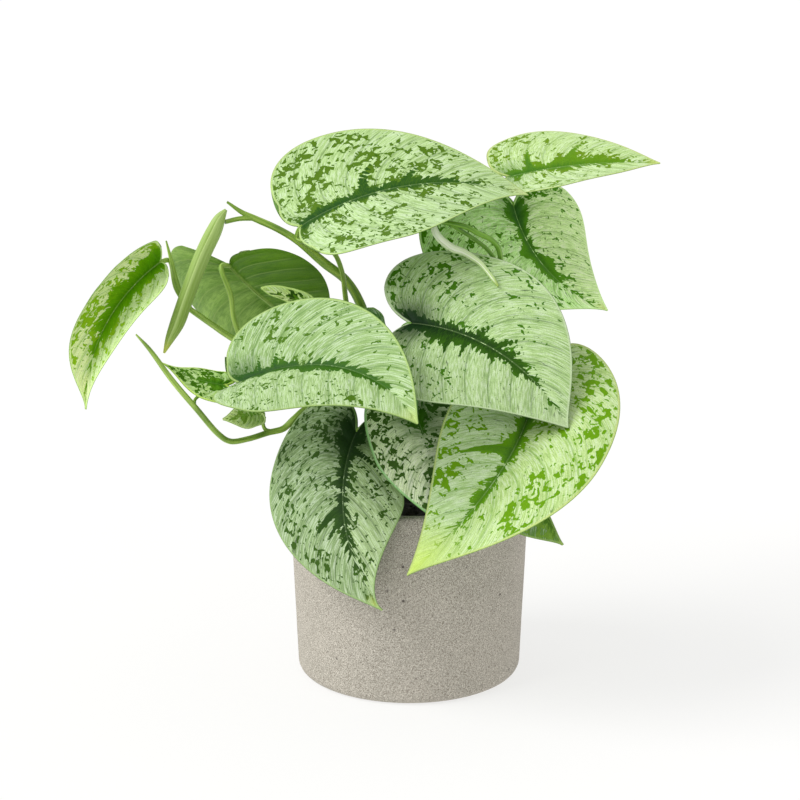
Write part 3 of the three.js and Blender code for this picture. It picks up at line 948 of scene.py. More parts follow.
class BladeSkin(Surface):
    """A blade's material, which reads the attributes that the blade's own mesh carries.

    A name in CELLS counts noise cells per millimetre, one in WEIGHT says how far a noise shifts the blotches'
    outline, and one in WIDTH or MARGIN gives the millimetres between which a marking ends.
    """

    HAIR = Lay(2.2, 7.0, 0.0, 1, 0.5)
    SILK = Lay(2.0, 9.0, 6.0, 1, 0.6)
    COMB = Lay(0.7, 2.8, 2.0, 2, 0.6)
    DOUBLING_STEP = 7.3
    STRAND_CELLS = (0.36, 0.1)
    CRACK_CELLS = (0.5, 0.06)
    SPECKLE_CELLS = 0.7
    PATCH_CELLS = 0.085
    GRAIN_CELLS = 2.2
    CLOUD_CELLS = 0.05
    SPECKLE_WEIGHT = 0.3
    COMB_WEIGHT = 0.45
    PATCH_WEIGHT = 0.4
    COVER_WEIGHT = 0.115
    SIDE_WANDER = 40.0
    SIDE_BLEND = 7.0
    BLOTCH_EDGE = (0.495, 0.505)
    BLOTCH_MARGIN = (0.8, 1.4)
    BAND_EDGE = (-0.15, 0.15)
    FRINGE_WIDTH = (-5.0, -0.5)
    BAND_DEEPENS = (-4.0, 1.5)
    CORE_DEEPENS = (0.0, 7.0)
    CORE_WIDTH = (4.5, 0.5)
    BASE_SHADE_CORE = 2.0
    LINE_WIDTH = (0.55, 0.15)
    LINE_MIDRIB = (1.0, 4.0)
    LINE_MARGIN = (1.0, 6.0)
    CRACK_WIDTH = (0.012, 0.004)
    MIDRIB_WIDTH = (0.5, 0.2)
    UNDER_MIDRIB_WIDTH = (1.8, 0.8)
    RIM_WIDTH = (1.2, 0.7)
    EDGE_WIDTH = (0.3, 0.05)

    def __init__(self, name: str, finish: BladeFinish, relief: Relief) -> None:
        """Makes the material.

        Args:
            name: the blade's name.
            finish: its colours and how they are laid.
            relief: its relief, for the places of its veins.
        """
        super().__init__(f"{name}_skin", specular_ior_level=0.1)
        self.finish = finish
        self.vein, self.spot, marks, face = (self.attribute(key) for key in ("vein", "spot", "marks", "face"))
        self.along, self.far, self.edge = self.vein.part(0), abs(self.vein.part(1)), self.spot.part(2)
        self.depth, self.cover, self.tip = (marks.part(axis) for axis in range(3))
        self.top, self.run, self.spread = (face.part(axis) for axis in range(3))
        self.hair, self.silk, self.comb = (self.veined(lay) for lay in (self.HAIR, self.SILK, self.COMB))
        self.strand = self.noise(self._combed(self.STRAND_CELLS, 4.0), detail=2)
        self.cloud = self.noise(self.spot * self.CLOUD_CELLS + finish.seed, detail=2)
        wander = (self.cloud - 0.5) * self.SIDE_WANDER
        self.side = (self.vein.part(1) + wander).ramp(-self.SIDE_BLEND, self.SIDE_BLEND)
        phase = (self.along / finish.length) ** relief.VEIN_CROWD * relief.veins
        near = abs(phase - (phase + 0.5).floor()) * (finish.length / relief.veins) * 2.0 ** self.spread
        self.line = (near.ramp(*self.LINE_WIDTH) * self.far.ramp(*self.LINE_MIDRIB)
                     * self.edge.ramp(*self.LINE_MARGIN))
        # Painted shade: 1 in the grooves along the side veins and 0 between them.
        self.groove_shade = (phase * TURN).cosine().ramp(-1.0, 1.0)
        flat = self.xyz(self.spot.part(0), self.spot.part(1), finish.seed)
        self.band, self.field = self._marking(flat)
        self.blotch = self.field.ramp(*self.BLOTCH_EDGE) * self.edge.ramp(*self.BLOTCH_MARGIN)
        colour = self.mix(self.top.ramp(0.2, 0.8), self._under(), self._upper())
        grain = self.noise(flat * self.GRAIN_CELLS, detail=1)
        self.dress(colour * (1.0 + (grain - 0.5) * finish.grain),
                   (self.hair - 0.5) * 0.25 + finish.roughness + self.blotch * 0.04,
                   self.hair * 0.3 + self.strand * 0.12 - self.band * 0.04 - self.blotch * 0.03, 0.4)

    def _combed(self, cells: Pair, offset: float) -> Wire:
        """A place in noise that is drawn out along the veins."""
        return self.xyz(self.along * cells[0], self.far * cells[1], self.finish.seed + offset)

    def veined(self, lay: Lay) -> Wire:
        """Noise along the side veins that is as fine where they fan out as where they start.

        Args:
            lay: how the noise lies.

        Returns:
            The noise, blended from the two nearest doublings of its scale.
        """
        whole = self.spread.floor()
        down, seed = self.vein.part(1) * (lay.pitch / lay.stretch), self.finish.seed + lay.offset
        coarse, fine = (self.noise(
            self.xyz(self.along * (2.0 ** (whole + step)) * lay.pitch, down,
                     whole * self.DOUBLING_STEP + (seed + self.DOUBLING_STEP * step)),
            detail=lay.detail, roughness=lay.roughness) for step in (0.0, 1.0))
        return coarse + (fine - coarse) * (self.spread - whole)

    def _marking(self, flat: Wire) -> tuple[Wire, Wire]:
        """Where the green lies.

        Args:
            flat: the place on the flat blade.

        Returns:
            The band's cover and the blotches' pattern, which fills with green above 0.5.
        """
        look = self.finish
        islands = self.noise(flat * look.island, detail=1, roughness=0.5, distortion=0.7)
        speckle = self.noise(flat * self.SPECKLE_CELLS, detail=2, distortion=0.3)
        patchy = self.noise(flat * self.PATCH_CELLS + 5.0, detail=0)
        band = self.depth + (self.strand - 0.5) * look.fingers + (self.comb - 0.5) * look.ragged
        crowd = self.cover + band.ramp(*self.FRINGE_WIDTH) * look.fringe
        pattern = islands + (speckle - 0.5) * self.SPECKLE_WEIGHT + (self.comb - 0.5) * self.COMB_WEIGHT
        pattern = pattern + (patchy - 0.5) * self.PATCH_WEIGHT + crowd * self.COVER_WEIGHT
        return band.ramp(*self.BAND_EDGE), pattern

    def _upper(self) -> Wire:
        """The colour of the upper side, from the ground up.

        Returns:
            The colour.
        """
        look, far, run, edge = self.finish, self.far, self.run, self.edge
        cracks = self.noise(self._combed(self.CRACK_CELLS, 8.0), detail=1)
        crack = abs(cracks - 0.5).ramp(*self.CRACK_WIDTH) * self.comb.ramp(0.5, 0.58)
        # Painted light and shade: the ground turns from the left half's colour to the right half's along the
        # midrib.
        ground = self.coat(
            # Painted shade in the grooves along the side veins.
            look.ground, (look.ground_far, self.side), (look.blotch, self.groove_shade * look.groove_shade_strength),
            (look.blotch, self.hair.ramp(0.45, 0.6) * 0.1),
            (look.blotch, self.silk.ramp(0.5, 0.62) * look.streak),
            (look.sheen, self.silk.ramp(0.5, 0.4) * 0.4),
            (look.band, self.line * look.vein_line), (look.core, crack * look.crack))
        dark = self.coat(
            look.blotch, (look.band, self.depth.ramp(*self.BAND_DEEPENS)),
            # The band's deepest green grows towards the base: partly the band's own core, partly painted
            # shade.
            (look.core, self.depth.ramp(*self.CORE_DEEPENS) * run.ramp(0.75, 0.05)),
            (look.core, far.ramp(*self.CORE_WIDTH) * run.ramp(1.0, 0.4) * 0.6),
            (look.blotch, self.hair.ramp(0.5, 0.6) * 0.3))
        green = self.coat(look.band, (look.blotch, self.field.ramp(0.49, 0.54)))
        base = (self.spot.part(0) ** 2 + self.spot.part(1) ** 2) ** 0.5
        return self.coat(
            self.mix(self.band, self.mix(self.blotch, ground, green), dark),
            # Darker round the petiole's joint: partly the band's deep green, partly painted shade.
            (look.core, base.ramp(look.base_shade_reach, self.BASE_SHADE_CORE) * look.base),
            (look.ground_far, far.ramp(*self.MIDRIB_WIDTH) * run.ramp(1.0, 0.6) * 0.12),
            (look.tip, self.tip.ramp(0.0, 1.0)), (look.rim, edge.ramp(*self.RIM_WIDTH) * 0.8),
            (look.band, edge.ramp(*self.EDGE_WIDTH) * 0.6))

    def _under(self) -> Wire:
        """The colour of the plain underside.

        Returns:
            The colour.
        """
        look = self.finish
        shade = self.cloud.ramp(0.4, 0.7) * 0.3 + self.silk.ramp(0.4, 0.65) * 0.4
        return self.coat(look.under, (look.under_far, self.side), (look.under_dark, shade),
                         (look.under_dark, self.groove_shade * 0.35), (look.under_vein, self.line * 0.4),
                         (look.under_vein, self.far.ramp(*self.UNDER_MIDRIB_WIDTH) * 0.6))


# ------------------------------------------------------------------------------------------
# Stems


LEAST_RADIUS = 0.25


def smooth(points: Sequence[Sequence[float]], steps: int) -> Array:
    """A centripetal Catmull-Rom curve through points with their radius.

    Args:
        points: the route.
        steps: places between two points.

    Returns:
        Points along the curve with their radius.
    """
    given = np.array(points, dtype=float)
    padded = np.vstack([2 * given[0] - given[1], given, 2 * given[-1] - given[-2]])
    knots = np.concatenate([[0], np.cumsum(np.sqrt(np.linalg.norm(np.diff(padded[:, :3], axis=0), axis=1)))])
    curve = []
    for i in range(1, len(padded) - 2):
        t = np.linspace(knots[i], knots[i + 1], steps, endpoint=False)[:, None]
        layer = list(padded[i - 1:i + 3])
        for spans in (((0, 1), (1, 2), (2, 3)), ((0, 2), (1, 3)), ((1, 2),)):
            ends = [(knots[i - 1 + first], knots[i - 1 + last]) for first, last in spans]
            layer = [(b - t) / (b - a) * p + (t - a) / (b - a) * q
                     for (a, b), p, q in zip(ends, layer, layer[1:])]
        curve.append(layer[0])
    whole = np.vstack([*curve, given[-1:]])
    whole[:, 3] = np.maximum(whole[:, 3], LEAST_RADIUS)
    return whole


@dataclass(frozen=True)
class StemFinish:
    """Smooth satin stem skin with faint length streaks. Colours in display levels."""

    colour: Colour
    light: Colour
    dark: Colour
    roughness: float = 0.38

    STREAK_CELLS = (0.05, 9.0)
    CLOUD_CELLS = 0.06
    FLECK_CELLS = 1.4

    def material(self, name: str) -> bpy.types.Material:
        """Makes the stem's material.

        Args:
            name: the stem's name.

        Returns:
            The material, which reads the strand's own length.
        """
        skin = Surface(f"{name}_skin", specular_ior_level=0.45)
        strand, place = skin.attribute("strand"), skin.place()
        along, around = self.STREAK_CELLS
        lines = skin.xyz(strand.part(0) * PER_METRE * along, strand.part(1) * around, 1.0)
        streak = skin.noise(lines, detail=3)
        cloud = skin.noise(place * self.CLOUD_CELLS, detail=2)
        fleck = skin.noise(place * self.FLECK_CELLS, detail=2)
        colour = skin.coat(self.colour, (self.light, streak.ramp(0.35, 0.7)),
                           (self.dark, cloud.ramp(0.45, 0.75) * 0.7),
                           (self.light, fleck.ramp(0.62, 0.72) * 0.35))
        return skin.dress(colour, (streak - 0.5) * 0.2 + self.roughness, streak * 0.3 + fleck * 0.05, 0.5)


@dataclass(frozen=True)
class Strand:
    """A round strand along (x, y, z, radius) points.

    Attributes:
        route: the points.
        leaf: the blade under whose base it starts, or none.
        seat: how far behind and below that base it passes first.
        knee: how far behind and below it passes next.
    """

    route: Route
    leaf: Optional[str] = None
    seat: Pair = (0.9, 1.3)
    knee: Pair = (4.0, 5.0)


@dataclass
class Stem:
    """A stem with the petioles that grow from it."""

    name: str
    node: str
    slot: str
    foot: Pair
    foot_radius: float
    strands: tuple[Strand, ...]
    finish: StemFinish

    RADIUS = 1.2
    TIP_SHARE = 0.55
    TIP_PLACE = (0.0, 1.5, -0.35)
    FOOT_HEIGHTS = (62.3, 91.0)
    SIDES = 18
    STEPS = 14

    def _points(self, order: int, strand: Strand, shapes: dict[str, BladeShape]) -> Sequence[Sequence[float]]:
        """The whole route of one strand, with its start in the soil or at its blade.

        Args:
            order: the strand's place in the stem; the first one stands in the soil.
            strand: the strand.
            shapes: the blades' shapes.

        Returns:
            Its points with their radius.
        """
        if strand.leaf:
            shape = shapes[strand.leaf]
            frame = shape.frames(np.array([0.0]))[0]
            radius = min(self.RADIUS, strand.route[0][3])
            starts = [(self.TIP_PLACE, radius * self.TIP_SHARE)]
            starts += [((0.0, -back, -below), radius) for back, below in (strand.seat, strand.knee)]
            return [(*(np.array(shape.base) + frame @ np.array(place)), size) for place, size in starts
                    ] + list(strand.route)
        foot = [(*self.foot, height, self.foot_radius) for height in self.FOOT_HEIGHTS] if order == 0 else []
        return foot + list(strand.route)

    def build(self, shapes: dict[str, BladeShape]) -> bpy.types.Object:
        """Sweeps every strand and joins them in one piece.

        Args:
            shapes: the blades' shapes by name.

        Returns:
            The finished piece.
        """
        paths = [smooth(self._points(order, strand, shapes), self.STEPS)
                 for order, strand in enumerate(self.strands)]
        source = curve_object(f"{self.name}_routes", [path[:, :3] for path in paths],
                              [path[:, 3] for path in paths])
        material = self.finish.material(self.name)
        tree = GeometryTree(f"{self.name}_sweep", Sides=self.SIDES, Unit=MM, Material=material)
        routes = tree.store(tree.given("Geometry"), "along",
                            tree.node("GeometryNodeSplineParameter", output="Length"))
        circle = tree.node("GeometryNodeCurvePrimitiveCircle", {"mode": "RADIUS"}, {
            "Resolution": tree.given("Sides"), "Radius": tree.given("Unit")})
        circle = tree.store(circle, "around", tree.node("GeometryNodeSplineParameter", output="Factor"))
        tube = tree.node("GeometryNodeCurveToMesh", None, {
            "Curve": routes, "Profile Curve": circle, "Fill Caps": True,
            "Scale": tree.node("GeometryNodeInputRadius")})
        tube = tree.store(tube, "strand", tree.xyz(tree.read("along"), tree.read("around")))
        return settle(tree.apply(tube, source, self.name), material, self.node, self.slot)


# ------------------------------------------------------------------------------------------
# Rolled pieces


@dataclass(frozen=True)
class RollFinish:
    """The skin of a rolled piece: near its start and its end, its lines, its free edge and its tip."""

    start: Colour
    end: Colour
    cloud: Colour
    streak: Colour
    edge: Colour
    tip: Colour

    STREAK_CELLS = (0.04, 1.1)
    CLOUD_CELLS = (0.05, 0.1)
    EDGE_WIDTH = (2.0, 0.4)

    def material(self, name: str) -> bpy.types.Material:
        """Makes smooth skin with lines along the roll.

        Args:
            name: the piece's name.

        Returns:
            The material, which reads the roll's own length and turn.
        """
        skin = Surface(f"{name}_skin", specular_ior_level=0.3)
        roll = skin.attribute("roll")
        along, around, share = (roll.part(axis) for axis in range(3))
        streak, cloud = (skin.noise(skin.xyz(along * cells[0], around * cells[1], offset), detail=detail) for
                         cells, offset, detail in ((self.STREAK_CELLS, 3.0, 3), (self.CLOUD_CELLS, 7.0, 2)))
        colour = skin.coat(
            self.start, (self.end, share.ramp(0.1, 0.85)), (self.cloud, cloud.ramp(0.4, 0.65) * 0.6),
            (self.streak, streak.ramp(0.5, 0.7) * 0.5), (self.edge, streak.ramp(0.48, 0.35) * 0.4),
            (self.edge, around.ramp(*self.EDGE_WIDTH) * 0.8), (self.tip, share.ramp(0.88, 1.0)))
        return skin.dress(colour, (streak - 0.5) * 0.2 + 0.5, streak * 0.3, 0.5)


@dataclass
class Roll:
    """A sheet rolled up along (x, y, z, radius) points.

    Attributes:
        name: the piece's name.
        node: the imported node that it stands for.
        slot: the record's material slot.
        route: the points.
        finish: its skin.
        turns: how often it goes round.
        step: how far each turn lies inside the last, as a share of the radius.
        thickness: the sheet's thickness in millimetres.
        facing: the direction of its free edge in degrees.
    """

    name: str
    node: str
    slot: str
    route: Route
    finish: RollFinish
    turns: float = 1.45
    step: float = 0.24
    thickness: float = 0.45
    facing: float = -100.0

    SIDES = 64
    STEPS = 12
    FULL_THICKNESS_RADIUS = 2
    LEAST_INNER = 0.4
    AROUND = 40.0

    def build(self) -> bpy.types.Object:
        """Makes the closed spiral sheet.

        Returns:
            The finished piece.
        """
        path = smooth(self.route, self.STEPS)
        ahead = np.gradient(path[:, :3], axis=0)
        ahead /= np.linalg.norm(ahead, axis=1, keepdims=True)
        right = np.cross(ahead, [0.0, 1.0, 0.0])
        right /= np.linalg.norm(right, axis=1, keepdims=True)
        front = np.cross(right, ahead)
        angle = np.radians(self.facing) + np.linspace(0, TURN * self.turns, self.SIDES)
        radius = path[:, 3][:, None]
        outer = radius * (1 - self.step * np.linspace(0, self.turns, self.SIDES))
        inner = np.maximum(outer - self.thickness * np.minimum(1, radius / self.FULL_THICKNESS_RADIUS),
                           outer * self.LEAST_INNER)
        rings = [path[:, None, :3] + (size * np.cos(angle))[..., None] * right[:, None]
                 + (size * np.sin(angle))[..., None] * front[:, None] for size in (outer, inner)]
        section = np.concatenate([rings[0], rings[1][:, ::-1]], axis=1)
        rows, wide = section.shape[:2]
        index = np.arange(rows * wide).reshape(rows, wide)
        after = np.roll(index, -1, axis=1)
        faces = np.stack([index[:-1], after[:-1], after[1:], index[1:]], -1).reshape(-1, 4).tolist()
        for row, order in ((index[0].tolist(), -1), (index[-1].tolist(), 1)):
            faces += [[row[k], row[k + 1], row[-k - 2], row[-k - 1]][::order] for k in range(self.SIDES - 1)]
        steps = np.linalg.norm(np.diff(path[:, :3], axis=0), axis=1)
        length = np.concatenate([[0], np.cumsum(steps)])[:, None]
        around = np.concatenate([np.linspace(0, 1, self.SIDES), np.linspace(1, 0, self.SIDES)]) * self.AROUND
        place = np.stack(np.broadcast_arrays(length, around, length / length[-1]), -1)
        piece = mesh_object(self.name, section.reshape(-1, 3), faces, {"roll": place.reshape(-1, 3)})
        return settle(piece, self.finish.material(self.name), self.node, self.slot)


# ------------------------------------------------------------------------------------------
# Pot and soil


@dataclass
class Pot:
    """The cast concrete pot, in millimetres."""

    height: float = 96.0
    top_radius: float = 60.0
    foot_radius: float = 56.5
    wall: float = 5.0
    floor: float = 8.0
    foot_round: float = 4.0
    rim_round: float = 1.5
    sides: int = 160
    spacing: float = 1.2
    uneven: float = 0.12

    FLAT_RADIUS = 25.0
    CORNER_POINTS = 7
    CLOUD_CELLS = 0.03
    SAND_CELLS = 2.2
    GRIT_CELLS = 3.6
    PINHOLE_CELLS = 0.16
    PINHOLE_PATCH_CELLS = 0.11

    def inner_radius(self, height: float) -> float:
        """The radius of the inside at a height."""
        return self.foot_radius + (self.top_radius - self.foot_radius) * height / self.height - self.wall

    def _corner(self, radius: float, height: float, size: float, start: float) -> list[Pair]:
        """A quarter of a circle.

        Args:
            radius: its centre's distance from the axis.
            height: its centre's height.
            size: its own radius.
            start: the angle that it starts at.

        Returns:
            Its points as (distance from the axis, height).
        """
        angles = np.radians(np.linspace(start, start + 90, self.CORNER_POINTS))
        return [(radius + size * math.cos(a), height + size * math.sin(a)) for a in angles]

    def _profile(self) -> list[Pair]:
        """The section from the middle of the underside round the rim to the middle of the floor.

        Returns:
            Its points as (distance from the axis, height).
        """
        foot, rim, floor = self.foot_round, self.rim_round, self.floor
        return [(0.0, 0.0), (self.FLAT_RADIUS, 0.0), *self._corner(self.foot_radius - foot, foot, foot, -90),
                *self._corner(self.top_radius - rim, self.height - rim, rim, 0),
                *self._corner(self.inner_radius(self.height) + rim, self.height - rim, rim, 90),
                (self.inner_radius(floor), floor), (self.FLAT_RADIUS, floor), (0.0, floor)]

    def build(self) -> bpy.types.Object:
        """Turns the section about the axis and makes it slightly uneven, as a cast pot is.

        Returns:
            The finished piece.
        """
        section = np.array([(radius, 0.0, height) for radius, height in self._profile()])
        source = curve_object("pot_section", [section])
        material = self.material()
        tree = GeometryTree("pot_lathe", Sides=self.sides, Spacing=self.spacing * MM, Uneven=self.uneven * MM,
                            Material=material)
        section = tree.node("GeometryNodeResampleCurve", {"mode": "LENGTH"}, {
            "Curve": tree.given("Geometry"), "Length": tree.given("Spacing")})
        count = tree.node("GeometryNodeAttributeDomainSize", {"component": "CURVE"}, {"Geometry": section},
                          "Point Count")
        grid = tree.node("GeometryNodeMeshGrid", None, {
            "Size X": 1.0, "Size Y": 1.0, "Vertices X": tree.given("Sides") + 1.0, "Vertices Y": count})
        index = tree.node("GeometryNodeInputIndex")
        turn = ((index + 0.5) / count).floor() * -TURN / tree.given("Sides")
        place = tree.node("GeometryNodeSampleIndex", {"data_type": "FLOAT_VECTOR", "domain": "POINT"}, {
            "Geometry": section, "Value": tree.node("GeometryNodeInputPosition"),
            "Index": tree.math("MODULO", index, count)})
        radius, height = place.part(0), place.part(2)
        uneven = tree.noise(tree.xyz(turn.cosine(), turn.sine(), height * 25.0), 2.0, 3.0)
        radius = radius + (uneven - 0.5) * tree.given("Uneven") * (radius * 100.0).least(1.0) * 2.0
        turned = tree.node("GeometryNodeSetPosition", None, {
            "Geometry": grid, "Position": tree.xyz(radius * turn.cosine(), radius * turn.sine(), height)})
        closed = tree.node("GeometryNodeMergeByDistance", None, {"Geometry": turned, "Distance": 1e-6})
        return settle(tree.apply(closed, source, "concrete_pot"), material, "pot", "concrete")

    def material(self) -> bpy.types.Material:
        """Warm grey cast concrete with fine sand and pinholes.

        Returns:
            The material.
        """
        skin = Surface("concrete_skin", specular_ior_level=0.25)
        place = skin.place()
        cloud = skin.noise(place * self.CLOUD_CELLS, detail=4, roughness=0.6)
        sand = skin.noise(place * self.SAND_CELLS, detail=2, roughness=0.6)
        grit = skin.noise(place * self.GRIT_CELLS, detail=1)
        holes = skin.node("ShaderNodeTexVoronoi", {"feature": "F1"},
                          {"Vector": place, "Scale": self.PINHOLE_CELLS}, "Distance")
        some = skin.noise(place * self.PINHOLE_PATCH_CELLS, detail=1).ramp(0.5, 0.66)
        pin = (holes * 6.0).ramp(0.9, 0.5) * some
        colour = skin.coat(
            (174, 168, 155), ((186, 179, 166), cloud.ramp(0.35, 0.65)),
            ((116, 109, 97), sand.ramp(0.5, 0.62) * 0.75), ((226, 221, 208), sand.ramp(0.48, 0.38) * 0.7),
            ((104, 97, 86), grit.ramp(0.54, 0.62) * 0.7), ((232, 227, 215), grit.ramp(0.46, 0.38) * 0.6),
            ((70, 64, 60), pin * 0.8))
        return skin.dress(colour, (sand - 0.5) * 0.1 + 0.88, sand * 0.25 + grit * 0.12 - pin * 0.6, 0.6)


@dataclass
class Soil:
    """The compost in the pot with loose crumbs on it, in millimetres."""

    pot: Pot
    level: float = 87.0
    mound: float = 2.5
    lump: float = 1.1
    fine: float = 0.5
    gap: float = 0.3
    sides: int = 128
    rings: int = 44
    crumbs_per_square_metre: float = 62000.0
    smallest_crumb: float = 0.35
    largest_crumb: float = 1.5

    SHOULDER = 2.0
    CRUMB_LUMPS = 900.0
    CRUMB_SHAPE = (1.0, 0.72, 0.5)
    SEEDS = (7, 3, 5)
    GRAIN_CELLS = 0.9
    PATCH_CELLS = 0.12

    def height(self, x: Array, y: Array) -> Array:
        """The height of the surface: a low mound with lumps.

        Args:
            x: places to the right.
            y: places to the back.

        Returns:
            The heights.
        """
        reach = np.hypot(x, y) / self.pot.inner_radius(self.level)
        lumps = np.sin(0.31 * x + 1.1) * np.cos(0.27 * y) + 0.6 * np.sin(0.53 * (x - y) + 0.4)
        fine = 0.5 * np.sin(1.3 * x + 0.7 * y) * np.cos(1.1 * y - 0.4 * x)
        fine += 0.3 * np.sin(2.7 * x) * np.sin(2.3 * y)
        return (self.level + self.mound * (1 - reach * reach)
                + (self.lump * lumps + self.fine * fine) * np.maximum(0, 1 - reach ** 4))

    def build(self) -> None:
        """Makes the body of compost and the crumbs on its surface."""
        edge = self.pot.inner_radius(self.level) - self.gap
        bottom = self.pot.floor + self.gap
        low = self.pot.inner_radius(bottom) - self.gap
        angles = np.arange(self.sides) * TURN / self.sides
        rows = [np.stack([low * np.cos(angles), low * np.sin(angles), np.full(self.sides, bottom)], -1)]
        for radius in edge * (1 - np.arange(self.rings) / self.rings):
            x, y = radius * np.cos(angles), radius * np.sin(angles)
            rows.append(np.stack([x, y, self.height(x, y)], -1))
        points = np.concatenate([*rows, [[0.0, 0.0, float(self.height(0.0, 0.0))], [0.0, 0.0, bottom]]])
        index = np.arange(len(points) - 2).reshape(len(rows), self.sides)
        after = np.roll(index, -1, axis=1)
        faces = np.stack([index[:-1], after[:-1], after[1:], index[1:]], -1).reshape(-1, 4).tolist()
        for k, q, low_k, low_q in zip(*(row.tolist() for row in (index[-1], after[-1], index[0], after[0]))):
            faces += [(k, q, len(points) - 2), (low_q, low_k, len(points) - 1)]
        body = mesh_object("compost", points, faces)
        material = self.material()
        crumbs = self._crumbs(body, material)
        settle(body, material, "soil", "potting_soil")
        settle(crumbs, material, None, "potting_soil")

    def _crumbs(self, body: bpy.types.Object, material: bpy.types.Material) -> bpy.types.Object:
        """Scatters loose crumbs on the top of the compost.

        Args:
            body: the compost.
            material: its finish.

        Returns:
            The crumbs as one piece.
        """
        tree = GeometryTree("crumb_scatter", Density=self.crumbs_per_square_metre, Seed=self.SEEDS[0],
                            Smallest=self.smallest_crumb, Largest=self.largest_crumb,
                            Lowest=(self.level - self.SHOULDER) * MM, Material=material)
        position = tree.node("GeometryNodeInputPosition")
        high = tree.math("GREATER_THAN", position.part(2), tree.given("Lowest"))
        bed = tree.node("GeometryNodeDistributePointsOnFaces", {"distribute_method": "RANDOM"}, {
            "Mesh": tree.given("Geometry"), "Selection": high, "Density": tree.given("Density"),
            "Seed": tree.given("Seed")})
        crumb = tree.node("GeometryNodeMeshIcoSphere", None, {"Radius": MM, "Subdivisions": 2})
        push = tree.noise(position * self.CRUMB_LUMPS, 1.0, 2.0)
        crumb = tree.node("GeometryNodeSetPosition", None, {
            "Geometry": crumb, "Offset": position * (push * 1.6 - 0.8)})
        crumb = tree.node("GeometryNodeTransform", None, {"Geometry": crumb, "Scale": self.CRUMB_SHAPE})
        size = tree.node("FunctionNodeRandomValue", {"data_type": "FLOAT"}, {
            "Min_001": tree.given("Smallest"), "Max_001": tree.given("Largest"), "Seed": self.SEEDS[1]},
            "Value_001")
        turn = tree.node("FunctionNodeRandomValue", {"data_type": "FLOAT_VECTOR"}, {
            "Min": (0.0, 0.0, 0.0), "Max": (6.28, 6.28, 6.28), "Seed": self.SEEDS[2]}, "Value")
        placed = tree.node("GeometryNodeInstanceOnPoints", None, {
            "Points": bed, "Instance": crumb, "Rotation": turn, "Scale": size})
        return tree.apply(placed, linked("crumb_bed", body.data.copy()), "compost_crumbs")

    def material(self) -> bpy.types.Material:
        """Dark damp compost.

        Returns:
            The material.
        """
        skin = Surface("compost_skin", specular_ior_level=0.3)
        place = skin.place()
        grain = skin.noise(place * self.GRAIN_CELLS, detail=5, roughness=0.7)
        patch = skin.noise(place * self.PATCH_CELLS, detail=2)
        colour = skin.coat((14, 12, 10), ((52, 44, 34), grain.ramp(0.4, 0.65)),
                           ((26, 21, 15), patch.ramp(0.45, 0.7) * 0.6))
        return skin.dress(colour, grain * 0.2 + 0.8, grain * 0.6, 0.8)


# ------------------------------------------------------------------------------------------
# The plant


